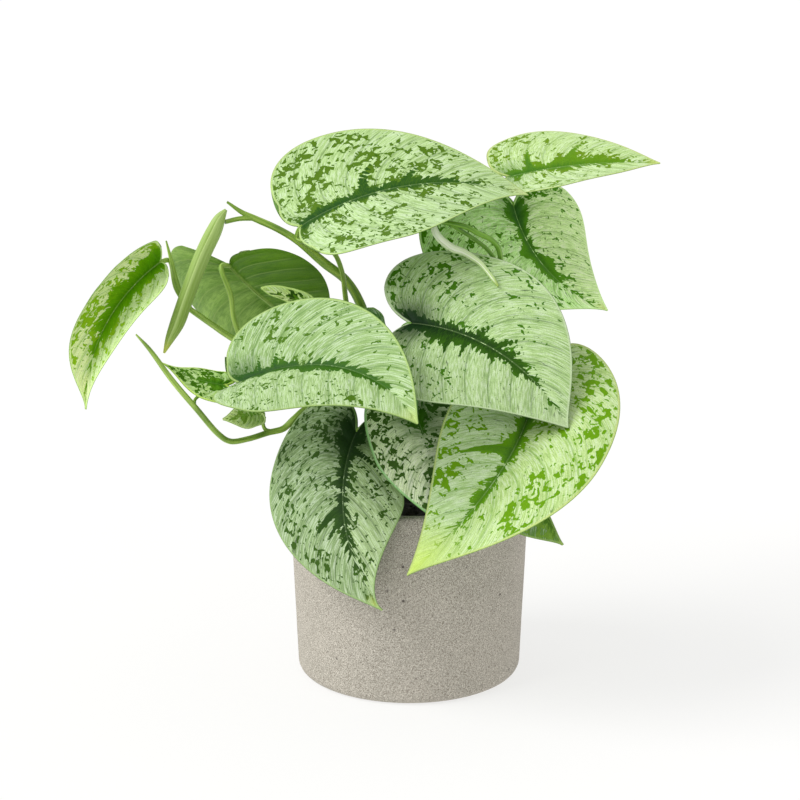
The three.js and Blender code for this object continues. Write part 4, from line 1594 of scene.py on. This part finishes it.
def blades() -> list[Blade]:
    """Lists every blade of the plant.

    Returns:
        The blades with their shapes, finishes and markings.
    """
    return [
        Blade("crown", "leaf_light",
              BladeShape((-53.5, 4, 224.5), 15, 31, 15, length=118, half_widths=(54.5, 51.5), lobe=(1.5, 2.5),
                         widest=(0.21, 0.34), fullness=(0.28, 0.11), droop=43, sickle=26, twist=2,
                         fold=(5, -7), curl=(19, 13)),
              BladeFinish(ground=(189, 220, 149), ground_far=(195, 226, 158), band=(44, 89, 5),
                          core=(30, 74, 24), blotch=(83, 120, 18), rim=(184, 211, 127), tip=(200, 219, 150),
                          base=0.35, seed=1.3),
              (Half(((0, 3), (10, 8), (20, 14), (25, 10), (40, 11), (50, 10), (65, 18), (75, 14), (85, 0)),
                    ((0, 13, 13), (10, 24, 35), (20, 57, 35), (30, 13, 31), (36, 9, 18), (42, 42, 35),
                    (48, 13, 26), (56, 46, 31), (70, 9, 9), (85, 18, 9), (100, 9, 4)),
                    branches=((42, 80, 1), (57, 55, 1.2))),
               Half(((0, 4), (7, 13), (15, 11), (25, 4), (36, 7), (45, 4), (60, 7), (70, 5), (80, 0)),
                    ((0, 41, 10), (12, 36, 29), (26, 31, 29), (31, 10, 19), (37, 19, 29), (45, 10, 14),
                    (57, 41, 14), (70, 31, 5), (80, 10, 0), (100, 5, 0))))),
        Blade("centre", "leaf_silver",
              BladeShape((-0.5, -30, 183.5), -18, 0, 32, length=96, half_widths=(48, 51), lobe=(14, 12),
                         widest=(0.3, 0.24), fullness=(0.11, 0.41), droop=38, sickle=42, twist=-7,
                         fold=(21, -7), curl=(-20, 20)),
              BladeFinish(ground=(185, 215, 147), ground_far=(187, 215, 151), band=(48, 89, 9),
                          core=(14, 42, 14), blotch=(66, 118, 12), rim=(196, 216, 171), tip=(190, 212, 160),
                          island=0.32, base=0.95, base_shade_reach=22, seed=5.1),
              (Half(((0, 28), (10, 24), (20, 10), (30, 10), (40, 6), (50, 8), (60, 12), (70, 8), (80, 6),
                    (88, 0)),
                    ((0, 12, 15), (15, 12, 14), (30, 8, 10), (36, 5, 3), (42, 2, 2), (56, 5, 2), (65, 2, 0),
                    (100, 2, 2)),
                    branches=((46, 30, 0.9), (56, 36, 1.1), (62, 30, 0.9)), patches=((30, 70, 5, 40),)),
               Half(((0, 12), (15, 14), (30, 21), (40, 14), (50, 9), (56, 16), (62, 9), (70, 12), (80, 5),
                    (86, 0)),
                    ((0, 6, 11), (10, 11, 12), (25, 8, 12), (32, 4, 10), (37, 2, 4), (42, 2, 1), (60, 1, 1),
                    (100, 1, 1)),
                    branches=((35, 40, 1), (43, 34, 0.9))))),
        Blade("left", "leaf_silver",
              BladeShape((-80.5, -44.5, 157.5), -5, 27, 4, length=108, half_widths=(37, 55.5),
                         lobe=(3.5, 8.5), widest=(0.24, 0.26), fullness=(0.2, 0.29), droop=47, sickle=66,
                         twist=15, fold=(30, 14), curl=(11, -20)),
              BladeFinish(ground=(164, 195, 129), ground_far=(185, 215, 149), band=(54, 105, 10),
                          core=(40, 82, 30), blotch=(77, 117, 19), rim=(169, 196, 116), tip=(192, 214, 130),
                          island=0.32, base=0.75, base_shade_reach=22, seed=8.7),
              (Half(((0, 18), (15, 16), (20, 8), (32, 12), (42, 4), (55, 12), (65, 8), (80, 12), (87, 0)),
                    ((0, 6, 4), (10, 6, 11), (15, 3, 3), (20, 6, 4), (27, 1, 8), (35, 1, 14), (42, 4, 14),
                    (50, 1, 8), (60, 1, 13), (80, 3, 4), (100, 3, 3)),
                    branches=((28, 35, 1), (20, 30, 1)), patches=((36, 85, 7, 30),)),
               Half(((0, 12), (10, 18), (25, 26), (35, 16), (50, 22), (60, 12), (75, 12), (82, 0)),
                    ((0, 7, 3), (10, 10, 8), (25, 10, 13), (36, 4, 6), (45, 4, 3), (55, 8, 6), (65, 3, 13),
                    (80, 3, 6), (100, 3, 4))))),
        Blade("front_left", "leaf_deep",
              BladeShape((-25, -34, 132.5), -121, -43, 15, length=93, half_widths=(30, 46.5), lobe=(15.5, 16),
                         widest=(0.43, 0.25), fullness=(-0.13, 0.17), droop=59, sickle=-28, twist=8,
                         fold=(-9, 15), curl=(-51, -20)),
              BladeFinish(ground=(182, 208, 149), ground_far=(155, 181, 128), band=(42, 74, 20),
                          core=(26, 52, 20), blotch=(58, 92, 26), rim=(151, 182, 117), tip=(190, 210, 110),
                          island=0.36, base=0.9, base_shade_reach=26, seed=11.2),
              (Half(((0, 24), (15, 32), (25, 14), (35, 11), (45, 9), (52, 7), (56, 9), (61, 6), (67, 9),
                    (75, 4), (81, 0)),
                    ((0, 18, 22), (20, 5, 22), (26, 2, 7), (32, 18, 18), (40, 13, 9), (50, 5, 4), (56, 18, 4),
                    (62, 4, 5), (75, 13, 2), (100, 0, 0)),
                    branches=((24, 75, 0.9),)),
               Half(((0, 24), (5, 31), (12, 31), (20, 22), (30, 7), (38, 11), (50, 7), (56, 14), (60, 4),
                    (75, 5), (80, 0)),
                    ((0, 25, 28), (8, 29, 39), (15, 27, 34), (22, 22, 20), (35, 14, 20), (42, 7, 13),
                    (50, 10, 11), (57, 14, 17), (70, 8, 11), (82, 13, 8), (100, 3, 3)),
                    branches=((54, 55, 1.3), (60, 40, 1))))),
        Blade("front_right", "leaf_lime",
              BladeShape((57.5, -46, 149.5), -106, -39, -19, length=106.5, half_widths=(44.5, 35.5),
                         lobe=(32, 32), widest=(0.26, 0.22), fullness=(0.25, 0.26), droop=37, sickle=53,
                         twist=38, fold=(33, 16), curl=(-32, -14)),
              BladeFinish(ground=(197, 223, 150), ground_far=(198, 225, 167), band=(97, 153, 19),
                          core=(62, 106, 34), blotch=(103, 155, 6), rim=(193, 210, 128), tip=(206, 232, 118),
                          base=0.6, base_shade_reach=20, seed=14.9),
              (Half(((0, 3), (15, 8), (22, 20), (30, 9), (40, 8), (50, 6), (60, 8), (68, 14), (76, 9),
                    (81, 0)),
                    ((0, 24, 38), (15, 24, 34), (22, 19, 24), (28, 3, 21), (35, 2, 22), (42, 6, 27),
                    (50, 3, 16), (60, 2, 8), (66, 6, 8), (75, 2, 0), (100, 0, 0)),
                    branches=((20, 42, 1),), patches=((44, 72, 6, 30),)),
               Half(((10, 11), (25, 19), (32, 12), (40, 14), (46, 8), (55, 8), (61, 12), (67, 6), (80, 5),
                    (85, 0)),
                    ((0, 7, 22), (25, 5, 13), (30, 2, 22), (36, 2, 18), (40, 14, 18), (46, 5, 31),
                    (51, 2, 31), (57, 4, 22), (65, 11, 9), (75, 0, 9), (100, 0, 4)),
                    branches=((40, 75, 1.7),))), plain_tip=0.72),
        Blade("front_middle", "leaf_deep",
              BladeShape((3, -44, 142), -60, -47, 2, length=62, half_widths=(34, 29), lobe=(16, 16.5),
                         widest=(0.26, 0.29), fullness=(0.14, 0.09), droop=26, sickle=-3, twist=-7,
                         fold=(2, 3), curl=(-9, -11)),
              # Painted light: ground and sheen are brightened close to white because this blade lies in
              # shade.
              BladeFinish(ground=(232, 240, 208), ground_far=(226, 243, 194), band=(80, 133, 24),
                          core=(48, 96, 9), blotch=(64, 98, 34), rim=(151, 211, 136), tip=(170, 200, 110),
                          island=0.36, base=0.8, base_shade_reach=20, sheen=(255, 255, 245), seed=17.4),
              (Half(((0, 6), (15, 16), (22, 4), (100, 0)),
                    ((0, 24, 32), (8, 48, 48), (15, 52, 64), (22, 20, 40), (28, 24, 32), (35, 44, 32),
                    (43, 8, 24), (100, 8, 8))),
               Half(((0, 6), (15, 16), (22, 4), (100, 0)),
                    ((0, 40, 32), (12, 68, 56), (20, 52, 36), (26, 24, 40), (32, 10, 28), (42, 16, 32),
                    (47, 16, 16), (60, 40, 20), (100, 8, 8))))),
        Blade("right_back", "leaf_light",
              BladeShape((53, 47, 230), -53, -68, 3, length=77, half_widths=(45, 59.5), lobe=(10, 15),
                         widest=(0.19, 0.27), fullness=(0.37, 0.06), droop=-48, sickle=-29, twist=-16,
                         fold=(10, 3), curl=(-26, -26)),
              # Painted light: ground, rim and sheen are brightened close to white because this blade lies in
              # shade.
              BladeFinish(ground=(224, 255, 173), ground_far=(209, 255, 160), band=(87, 148, 10),
                          core=(46, 94, 30), blotch=(80, 140, 16), rim=(220, 255, 169), tip=(200, 218, 130),
                          groove_shade_strength=0.05, sheen=(255, 255, 240), seed=20.6),
              (Half(((0, 10), (10, 24), (20, 22), (27, 14), (37, 7), (50, 8), (56, 22), (62, 10), (67, 17),
                    (74, 7), (80, 10), (87, 0)),
                    ((0, 36, 44), (7, 36, 32), (12, 18, 14), (17, 4, 4), (30, 0, 10), (36, 10, 12),
                    (42, 4, 4), (50, 16, 2), (60, 6, 0), (80, 10, 0), (100, 2, 0))),
               Half(((0, 12), (20, 16), (27, 8), (40, 8), (46, 18), (52, 8), (60, 14), (67, 8), (80, 0)),
                    ((0, 12, 26), (17, 14, 34), (26, 5, 14), (31, 14, 7), (40, 5, 7), (46, 19, 14),
                    (52, 2, 7), (60, 2, 19), (75, 2, 7), (85, 0, 0))))),
        Blade("far_right", "leaf_light",
              BladeShape((50.5, 49, 243.5), -4, 14, 31, length=77, half_widths=(39, 26.5), lobe=(9, 8),
                         widest=(0.18, 0.31), fullness=(0.21, 0.16), droop=15, sickle=8, twist=-8,
                         fold=(7, 4), curl=(-24, 21)),
              BladeFinish(ground=(196, 225, 151), ground_far=(203, 230, 164), band=(97, 145, 11),
                          core=(62, 116, 26), blotch=(107, 144, 18), rim=(194, 210, 128), tip=(196, 214, 120),
                          seed=23.8),
              (Half(((0, 2), (5, 14), (20, 13), (26, 24), (31, 13), (38, 13), (50, 24), (60, 19), (66, 26),
                    (72, 18), (80, 16), (87, 0)),
                    ((0, 4, 24), (5, 22, 35), (12, 4, 24), (20, 2, 24), (26, 20, 22), (35, 9, 18), (41, 2, 2),
                    (50, 22, 18), (56, 18, 2), (62, 20, 4), (77, 20, 0), (82, 20, 11), (95, 2, 2)),
                    branches=((27, 60, 1.3), (50, 80, 1.2))),
               Half(((0, 0), (15, 18), (25, 2), (35, 6), (45, 16), (52, 8), (65, 18), (72, 6), (80, 0)),
                    ((0, 0, 0), (10, 6, 8), (16, 24, 18), (22, 20, 32), (28, 18, 10), (36, 12, 24),
                    (43, 26, 18), (50, 18, 2), (56, 2, 10), (65, 8, 14), (75, 2, 2), (100, 0, 0))))),
        Blade("outer_left", "leaf_banded",
              BladeShape((-122, 10, 206.5), -156, -32, -45, length=86.5, half_widths=(24, 27),
                         lobe=(-2.5, 2.5), widest=(0.34, 0.31), fullness=(0.2, 0), droop=50, sickle=-32,
                         twist=13, fold=(25, 58), curl=(10, 69)),
              # Painted light: the right half's ground is brightened close to white because that half lies in
              # shade.
              BladeFinish(ground=(216, 239, 173), ground_far=(247, 255, 194), band=(108, 169, 7),
                          core=(80, 145, 2), blotch=(144, 190, 27), rim=(228, 253, 171), tip=(190, 212, 120),
                          fingers=14, ragged=10, island=0.34, seed=26.1),
              (Half(((0, 17), (5, 39), (12, 29), (32, 34), (45, 29), (50, 39), (60, 24), (70, 17), (80, 8),
                    (100, 8)),
                    ((0, 52, 23), (12, 36, 18), (20, 18, 13), (26, 36, 13), (36, 10, 16), (47, 52, 36),
                    (55, 5, 5), (66, 26, 21), (76, 10, 0), (100, 5, 0))),
               Half(((0, 69), (10, 45), (20, 34), (27, 26), (40, 32), (48, 19), (55, 22), (62, 10), (70, 11),
                    (76, 0)),
                    ((0, 70, 79), (7, 53, 55), (15, 18, 15), (20, 4, 13), (30, 7, 11), (36, 31, 44),
                    (45, 57, 62), (52, 31, 35), (60, 40, 59), (66, 22, 20), (75, 2, 11), (100, 2, 0))))),
        Blade("underside", "leaf_underside",
              BladeShape((-89, 17, 203.5), 34, -48, -23, length=71.5, half_widths=(52, 39.5), lobe=(17, 7),
                         widest=(0.31, 0.16), fullness=(0.33, 0.54), droop=-26, sickle=-3, twist=-25,
                         fold=(-13, -9), curl=(47, 27)),
              BladeFinish(ground=(190, 216, 150), ground_far=(178, 206, 138), band=(60, 106, 20),
                          core=(34, 76, 8), blotch=(84, 128, 30), rim=(176, 202, 112), tip=(170, 200, 110),
                          under=(142, 178, 84), under_far=(100, 144, 30), base=0,
                          seed=29.5), relief=Relief(keel=1.3)),
        Blade("vine_small", "leaf_banded",
              BladeShape((-87.5, -33, 154), 189, 8, -17, length=32.5, half_widths=(14.5, 15), lobe=(4.5, 5.5),
                         widest=(0.3, 0.24), fullness=(0.08, 0.13), droop=-28, sickle=3, twist=13,
                         fold=(-1, 1), curl=(-23, -6)),
              BladeFinish(ground=(198, 233, 141), ground_far=(193, 232, 138), band=(92, 145, 21),
                          core=(51, 109, 8), blotch=(67, 117, 6), rim=(221, 253, 119), tip=(160, 205, 90),
                          fingers=8, base=0.2, seed=32),
              (Half(((0, 80), (20, 40), (50, 16), (80, 0)), ((0, 40, 40),
                    (100, 30, 30))),) * 2, detail=Detail.SMALL),
        Blade("right_small", "leaf_banded",
              BladeShape((58, -44, 106), -50, -52, 40, length=31.5, half_widths=(2.5, 19), lobe=(4, 4),
                         widest=(0.25, 0.26), fullness=(0.09, 0.1), droop=34, sickle=-9, twist=5,
                         fold=(-3, -2), curl=(-15, -12)),
              BladeFinish(ground=(112, 152, 78), ground_far=(92, 134, 58), band=(83, 127, 34),
                          core=(62, 106, 25), blotch=(119, 159, 55), rim=(150, 182, 96), tip=(190, 210, 100),
                          fingers=8, seed=35),
              (Half(((0, 50), (50, 40), (90, 0)), ((0, 40, 40), (100, 30, 40))),
               Half(((0, 40), (50, 30), (90, 0)), ((0, 44, 40), (100, 40, 40)))), detail=Detail.SMALL),
        Blade("shoulder", "leaf_shade",
              BladeShape((-20, -12, 172), 162, -27, 246, length=36, half_widths=(22, 20), lobe=(21, 21),
                         widest=(0.26, 0.26), fullness=(0.14, 0.14), droop=-22, sickle=-35, twist=1,
                         fold=(3, 2), curl=(15, 14)),
              BladeFinish(ground=(110, 150, 90), ground_far=(90, 135, 70), band=(66, 112, 42),
                          core=(48, 92, 30), blotch=(70, 118, 46), rim=(130, 170, 90), tip=(140, 176, 90),
                          under=(80, 130, 56), under_far=(78, 124, 24), base=0,
                          seed=38), detail=Detail.SMALL),
        Blade("curled_small", "leaf_new",
              BladeShape((-72, -24, 138.4), 184, -12, -58, length=18.5, half_widths=(9.5, 7), lobe=(2, 2),
                         widest=(0.26, 0.26), fullness=(0.14, 0.14), droop=-10, sickle=0, twist=0,
                         fold=(12, 10), curl=(28, 10)),
              BladeFinish(ground=(214, 236, 152), ground_far=(192, 220, 124), band=(110, 160, 50),
                          core=(100, 150, 45), blotch=(130, 165, 60), rim=(222, 240, 168),
                          tip=(200, 216, 130), under=(196, 216, 126), under_far=(184, 208, 112), seed=41),
              (Half(((0, 10), (90, 0)), ((0, 20, 10), (100, 10, 10))),) * 2, detail=Detail.SMALL),
        Blade("sliver", "leaf_new",
              BladeShape((-47, -10, 189), 180, 14, -40, length=26, half_widths=(5, 5), lobe=(1, 1),
                         widest=(0.4, 0.4), fullness=(0.7, 0.7), droop=-10, sickle=0, twist=0, fold=(15, 15),
                         curl=(10, 10)),
              BladeFinish(ground=(208, 231, 149), ground_far=(174, 210, 109), band=(92, 140, 11),
                          core=(81, 132, 7), blotch=(38, 75, 1), rim=(189, 218, 127), tip=(180, 205, 120),
                          under=(120, 170, 90), under_far=(120, 165, 50), base=0, seed=44),
              (Half(((0, 10), (90, 0)), ((0, 20, 10), (100, 10, 10))),) * 2, detail=Detail.SMALL),
    ]


LIGHT_STEM = StemFinish((130, 168, 60), (178, 208, 98), (88, 128, 36))
DEEP_STEM = StemFinish((80, 130, 22), (128, 176, 60), (42, 90, 8))
DARK_STEM = StemFinish((106, 146, 40), (162, 192, 78), (58, 98, 16))


def stems() -> list[Stem]:
    """Lists every stem of the plant.

    Returns:
        The stems with their petioles.
    """
    return [
        Stem("upper_vine", "stem_vine_upper", "stem_dark", (-10, 12), 3.2, (
            Strand(((-10, 12, 95, 3.1), (-14, 11, 130, 2.9), (-19, 9, 165, 2.6), (-24, 8, 185, 2.4),
                    (-31, 8, 197, 2.3), (-42, 8, 206, 2.4), (-55, 8, 217, 1.9), (-65, 8, 223, 1.7),
                    (-76, 8, 228, 1.6), (-82, 8, 231, 1.2), (-89, 8, 236, 0.6))),
            Strand(((-76, 8, 228, 1.3), (-83, 6, 228, 1.2), (-89.6, 2.6, 226.9, 1.1))),
            Strand(((-44, -2, 217, 1.2), (-37, -3, 213, 1.2), (-33, -2, 204, 1.2), (-31, 1, 188, 1.3),
                    (-27, 5, 165, 1.5), (-14, 11, 138, 1.8)), "crown", (0.6, 1.1)),
            Strand(((-37, -2, 180, 0.9), (-26, 6, 160, 1.2)), "sliver", (0, 1.1)),
            Strand(((-17, 2, 160, 1.1), (-14, 11, 140, 1.5)), "shoulder")), DARK_STEM),
        Stem("left_back_stem", "stem_left_back", "stem_light", (-24, 8), 2.8, (
            Strand(((-24, 8, 95, 2.7), (-34, 8, 125, 2.4), (-55, 7, 148, 2.1), (-75, 5, 162, 1.8),
                    (-88, 5, 169, 1.6), (-98, 5, 176, 1.5), (-108, 6, 183, 1.4))),
            Strand(((-115, 9, 193, 1.3), (-108, 6, 183, 1.4)), "outer_left", (0.5, 0.9)),
            Strand(((-108, 6, 183, 1.2), (-113, 9, 191, 1.1), (-118, 13, 208, 0.9), (-120, 14, 216, 0.4))),
            Strand(((-88, 6, 190, 1.3), (-86.5, 4, 179, 1.3), (-83, 5, 167, 1.5)), "underside")), LIGHT_STEM),
        Stem("lower_vine", "stem_lower", "stem_light", (-10, -6), 3.2, (
            Strand(((-10, -6, 95, 3.0), (-20, -2, 112, 2.5), (-36, 2, 128, 2.1), (-50, 0, 134, 1.8),
                    (-57, -5, 130, 1.7), (-62, -8, 126, 1.6), (-69, -14, 125.5, 1.5), (-78, -26, 125.5, 1.4),
                    (-86, -36, 127, 1.4), (-91, -41, 132, 1.4), (-100, -46, 145, 1.4), (-111, -49, 160, 1.3),
                    (-121, -50, 175, 1.0), (-127, -50, 182, 0.4))),
            Strand(((-97, -33, 150, 0.8), (-102, -36.5, 147.5, 0.8), (-101, -41, 144, 0.9),
                    (-98, -44.5, 142, 1.0)), "vine_small"),
            Strand(((-71.5, -17, 131, 0.9), (-70.5, -15.5, 127.5, 1.0), (-67.5, -12.5, 125.5, 1.2)),
                   "curled_small", (0.2, 1), (1, 3.5)),
            Strand(((-76, -26, 151, 1.3), (-63, -6, 146, 1.4), (-42, 3, 134, 1.6), (-22, -2, 114, 2.0)),
                   "left"),
            Strand(((-20, -18, 128, 1.4), (-14, -9, 110, 1.7), (-12, -5.5, 98, 2.0)), "front_left"),
            Strand(((2, -26, 140, 1.3), (-4, -13, 122, 1.5), (-9, -8, 106, 1.8), (-11, -6, 97, 2.0)),
                   "front_middle")), LIGHT_STEM),
        Stem("right_stem", "stem_right", "stem_dark", (14, 2), 3.4, (
            Strand(((14, 2, 95, 3.3), (17, 2, 125, 3.0), (23, -1, 155, 2.6), (33, -8, 181, 2.1),
                    (40.5, -6, 196, 1.6), (44, -3.5, 207, 1.3), (43, -5, 215, 1.3), (39, -8, 220, 1.3),
                    (33, -9, 223, 1.3), (27, -8, 226, 1.3), (18, -7, 227.8, 1.2), (12, -5, 228.5, 1.1))),
            Strand(((20, -7, 227, 1.0), (27, -4, 222.3, 1.0), (33, -3.5, 218.2, 1.0), (38, -3.5, 214, 1.0),
                    (43.5, -3.5, 206, 1.0))),
            Strand(((6, -18, 166, 1.4), (14, -4, 145, 1.8), (17, 3, 128, 2.0)), "centre"),
            Strand(((46, -28, 148, 1.4), (34, -12, 134, 1.6), (17, 2, 116, 2.0)), "front_right"),
            Strand(((48, 54, 214, 1.3), (40, 44, 186, 1.4), (30, 24, 162, 1.6), (19.5, 2, 138, 1.8)),
                   "right_back"),
            Strand(((45, 62, 234, 1.2), (43, 70, 212, 1.3), (35, 58, 178, 1.5), (18, 2.5, 130, 1.8)),
                   "far_right"),
            Strand(((50, -32, 111, 0.9), (34, -16, 110, 1.1), (15, 1, 100, 1.4)), "right_small")), DEEP_STEM),
    ]


def rolls() -> list[Roll]:
    """Lists the rolled pieces of the plant.

    Returns:
        The young leaf and the sheath.
    """
    return [
        Roll("rolled_leaf", "leaf_rolled", "leaf_new",
             ((-89, 2, 233, 0.9), (-92, 1.5, 229, 3.1), (-95, 1, 223, 4.3), (-100.5, 0, 212, 4.5),
              (-105.5, -2, 200, 4.4), (-110, -4, 188, 4.3), (-113.5, -6, 178.5, 4.1), (-117, -7.5, 171, 2.6),
              (-119.8, -8.5, 164.2, 0.6)),
             RollFinish((164, 192, 108), (136, 168, 70), (152, 182, 88), (126, 160, 56), (178, 202, 124),
                        (190, 200, 84))),
        Roll("pale_sheath", "sheath_pale", "sheath",
             ((11.5, -7, 227.2, 1.4), (12, -7.5, 224.5, 1.9), (13.5, -8, 221.5, 2.1), (16.5, -8, 218.5, 2.2),
              (21, -8.5, 215.5, 2.2), (25.5, -9, 214, 2), (29.5, -11, 212, 1.8), (33.5, -14, 209.5, 1.5),
              (37, -18, 206, 1.3), (40, -22, 202.5, 1.2), (42, -24.5, 200, 0.5)),
             RollFinish((240, 252, 216), (190, 220, 136), (230, 244, 206), (192, 214, 156), (252, 255, 238),
                        (168, 196, 96)), thickness=0.3),
    ]


# ------------------------------------------------------------------------------------------
# Floor, light and camera


@dataclass
class Studio:
    """A plain pale floor, soft light from the upper left and the camera; millimetres and degrees."""

    elevation: float = 13.7
    distance: float = 895.0
    target: Point = (-4.6, 0.0, 138.5)
    field_of_view: float = 25.0
    sensor: float = 36.0
    floor_radius: float = 40000.0
    floor_level: float = -0.2
    floor_glow: float = 0.69
    surround: float = 0.7
    sun_power: float = 1.9
    sun_spread: float = 35.0
    sun_from: Point = (-0.9, -0.3, 0.85)

    FLOOR_SIDES = 96
    FLOOR_COLOURS = (0.3, 0.296, 0.29), (0.31, 0.306, 0.3)
    GLOW_COLOURS = (0.99, 0.99, 0.985), (1.0, 1.0, 0.995)
    FAR_CLIP = 100.0

    def build(self) -> None:
        """Makes the floor, the lights and the camera."""
        self._floor()
        self._lights()
        self._camera()

    def _floor(self) -> None:
        """A round white floor that reaches beyond the view."""
        angles = np.arange(self.FLOOR_SIDES) * TURN / self.FLOOR_SIDES
        points = np.stack([self.floor_radius * np.cos(angles), self.floor_radius * np.sin(angles),
                           np.full(self.FLOOR_SIDES, self.floor_level)], -1)
        floor = mesh_object("floor", points, [range(self.FLOOR_SIDES)])
        skin = Surface("floor_skin", specular_ior_level=0.0, roughness=1.0, emission_strength=self.floor_glow)
        haze = skin.noise(skin.node("ShaderNodeTexCoord", output="Object"), 3.0, 2.0)
        skin.set("Base Color", skin.mix(haze, *self.FLOOR_COLOURS))
        skin.set("Emission Color", skin.mix(haze, *self.GLOW_COLOURS))
        floor.data.materials.append(skin.material)

    def _lights(self) -> None:
        """A white surround and a broad soft sun."""
        world = bpy.data.worlds.new("surround")
        world.use_nodes = True
        sky = world.node_tree.nodes["Background"]
        sky.inputs["Color"].default_value = (1.0, 1.0, 1.0, 1.0)
        sky.inputs["Strength"].default_value = self.surround
        bpy.context.scene.world = world
        bpy.context.scene.view_settings.view_transform = "Standard"
        light = bpy.data.lights.new("key", "SUN")
        light.energy = self.sun_power
        light.angle = math.radians(self.sun_spread)
        linked("key", light).rotation_euler = Vector(self.sun_from).to_track_quat("Z", "Y").to_euler()

    def _camera(self) -> None:
        """The camera at the viewing angle."""
        camera = bpy.data.cameras.new("camera")
        camera.sensor_width = self.sensor
        camera.lens = self.sensor / 2 / math.tan(math.radians(self.field_of_view / 2))
        camera.clip_end = self.FAR_CLIP
        viewer = linked("camera", camera)
        tilt = math.radians(self.elevation)
        away = Vector((0, -math.cos(tilt), math.sin(tilt)))
        viewer.location = (Vector(self.target) + self.distance * away) * MM
        viewer.rotation_euler = (math.pi / 2 - tilt, 0.0, 0.0)
        bpy.context.scene.camera = viewer


def main() -> None:
    """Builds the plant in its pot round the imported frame."""
    logging.basicConfig(level=logging.INFO, format="%(name)s %(message)s")
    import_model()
    Studio().build()
    pot = Pot()
    pot.build()
    Soil(pot).build()
    leaves = blades()
    shapes = {leaf.key: leaf.shape for leaf in leaves}
    for stem in stems():
        stem.build(shapes)
    for piece in (*leaves, *rolls()):
        piece.build()


if __name__ == "__main__":
    main()
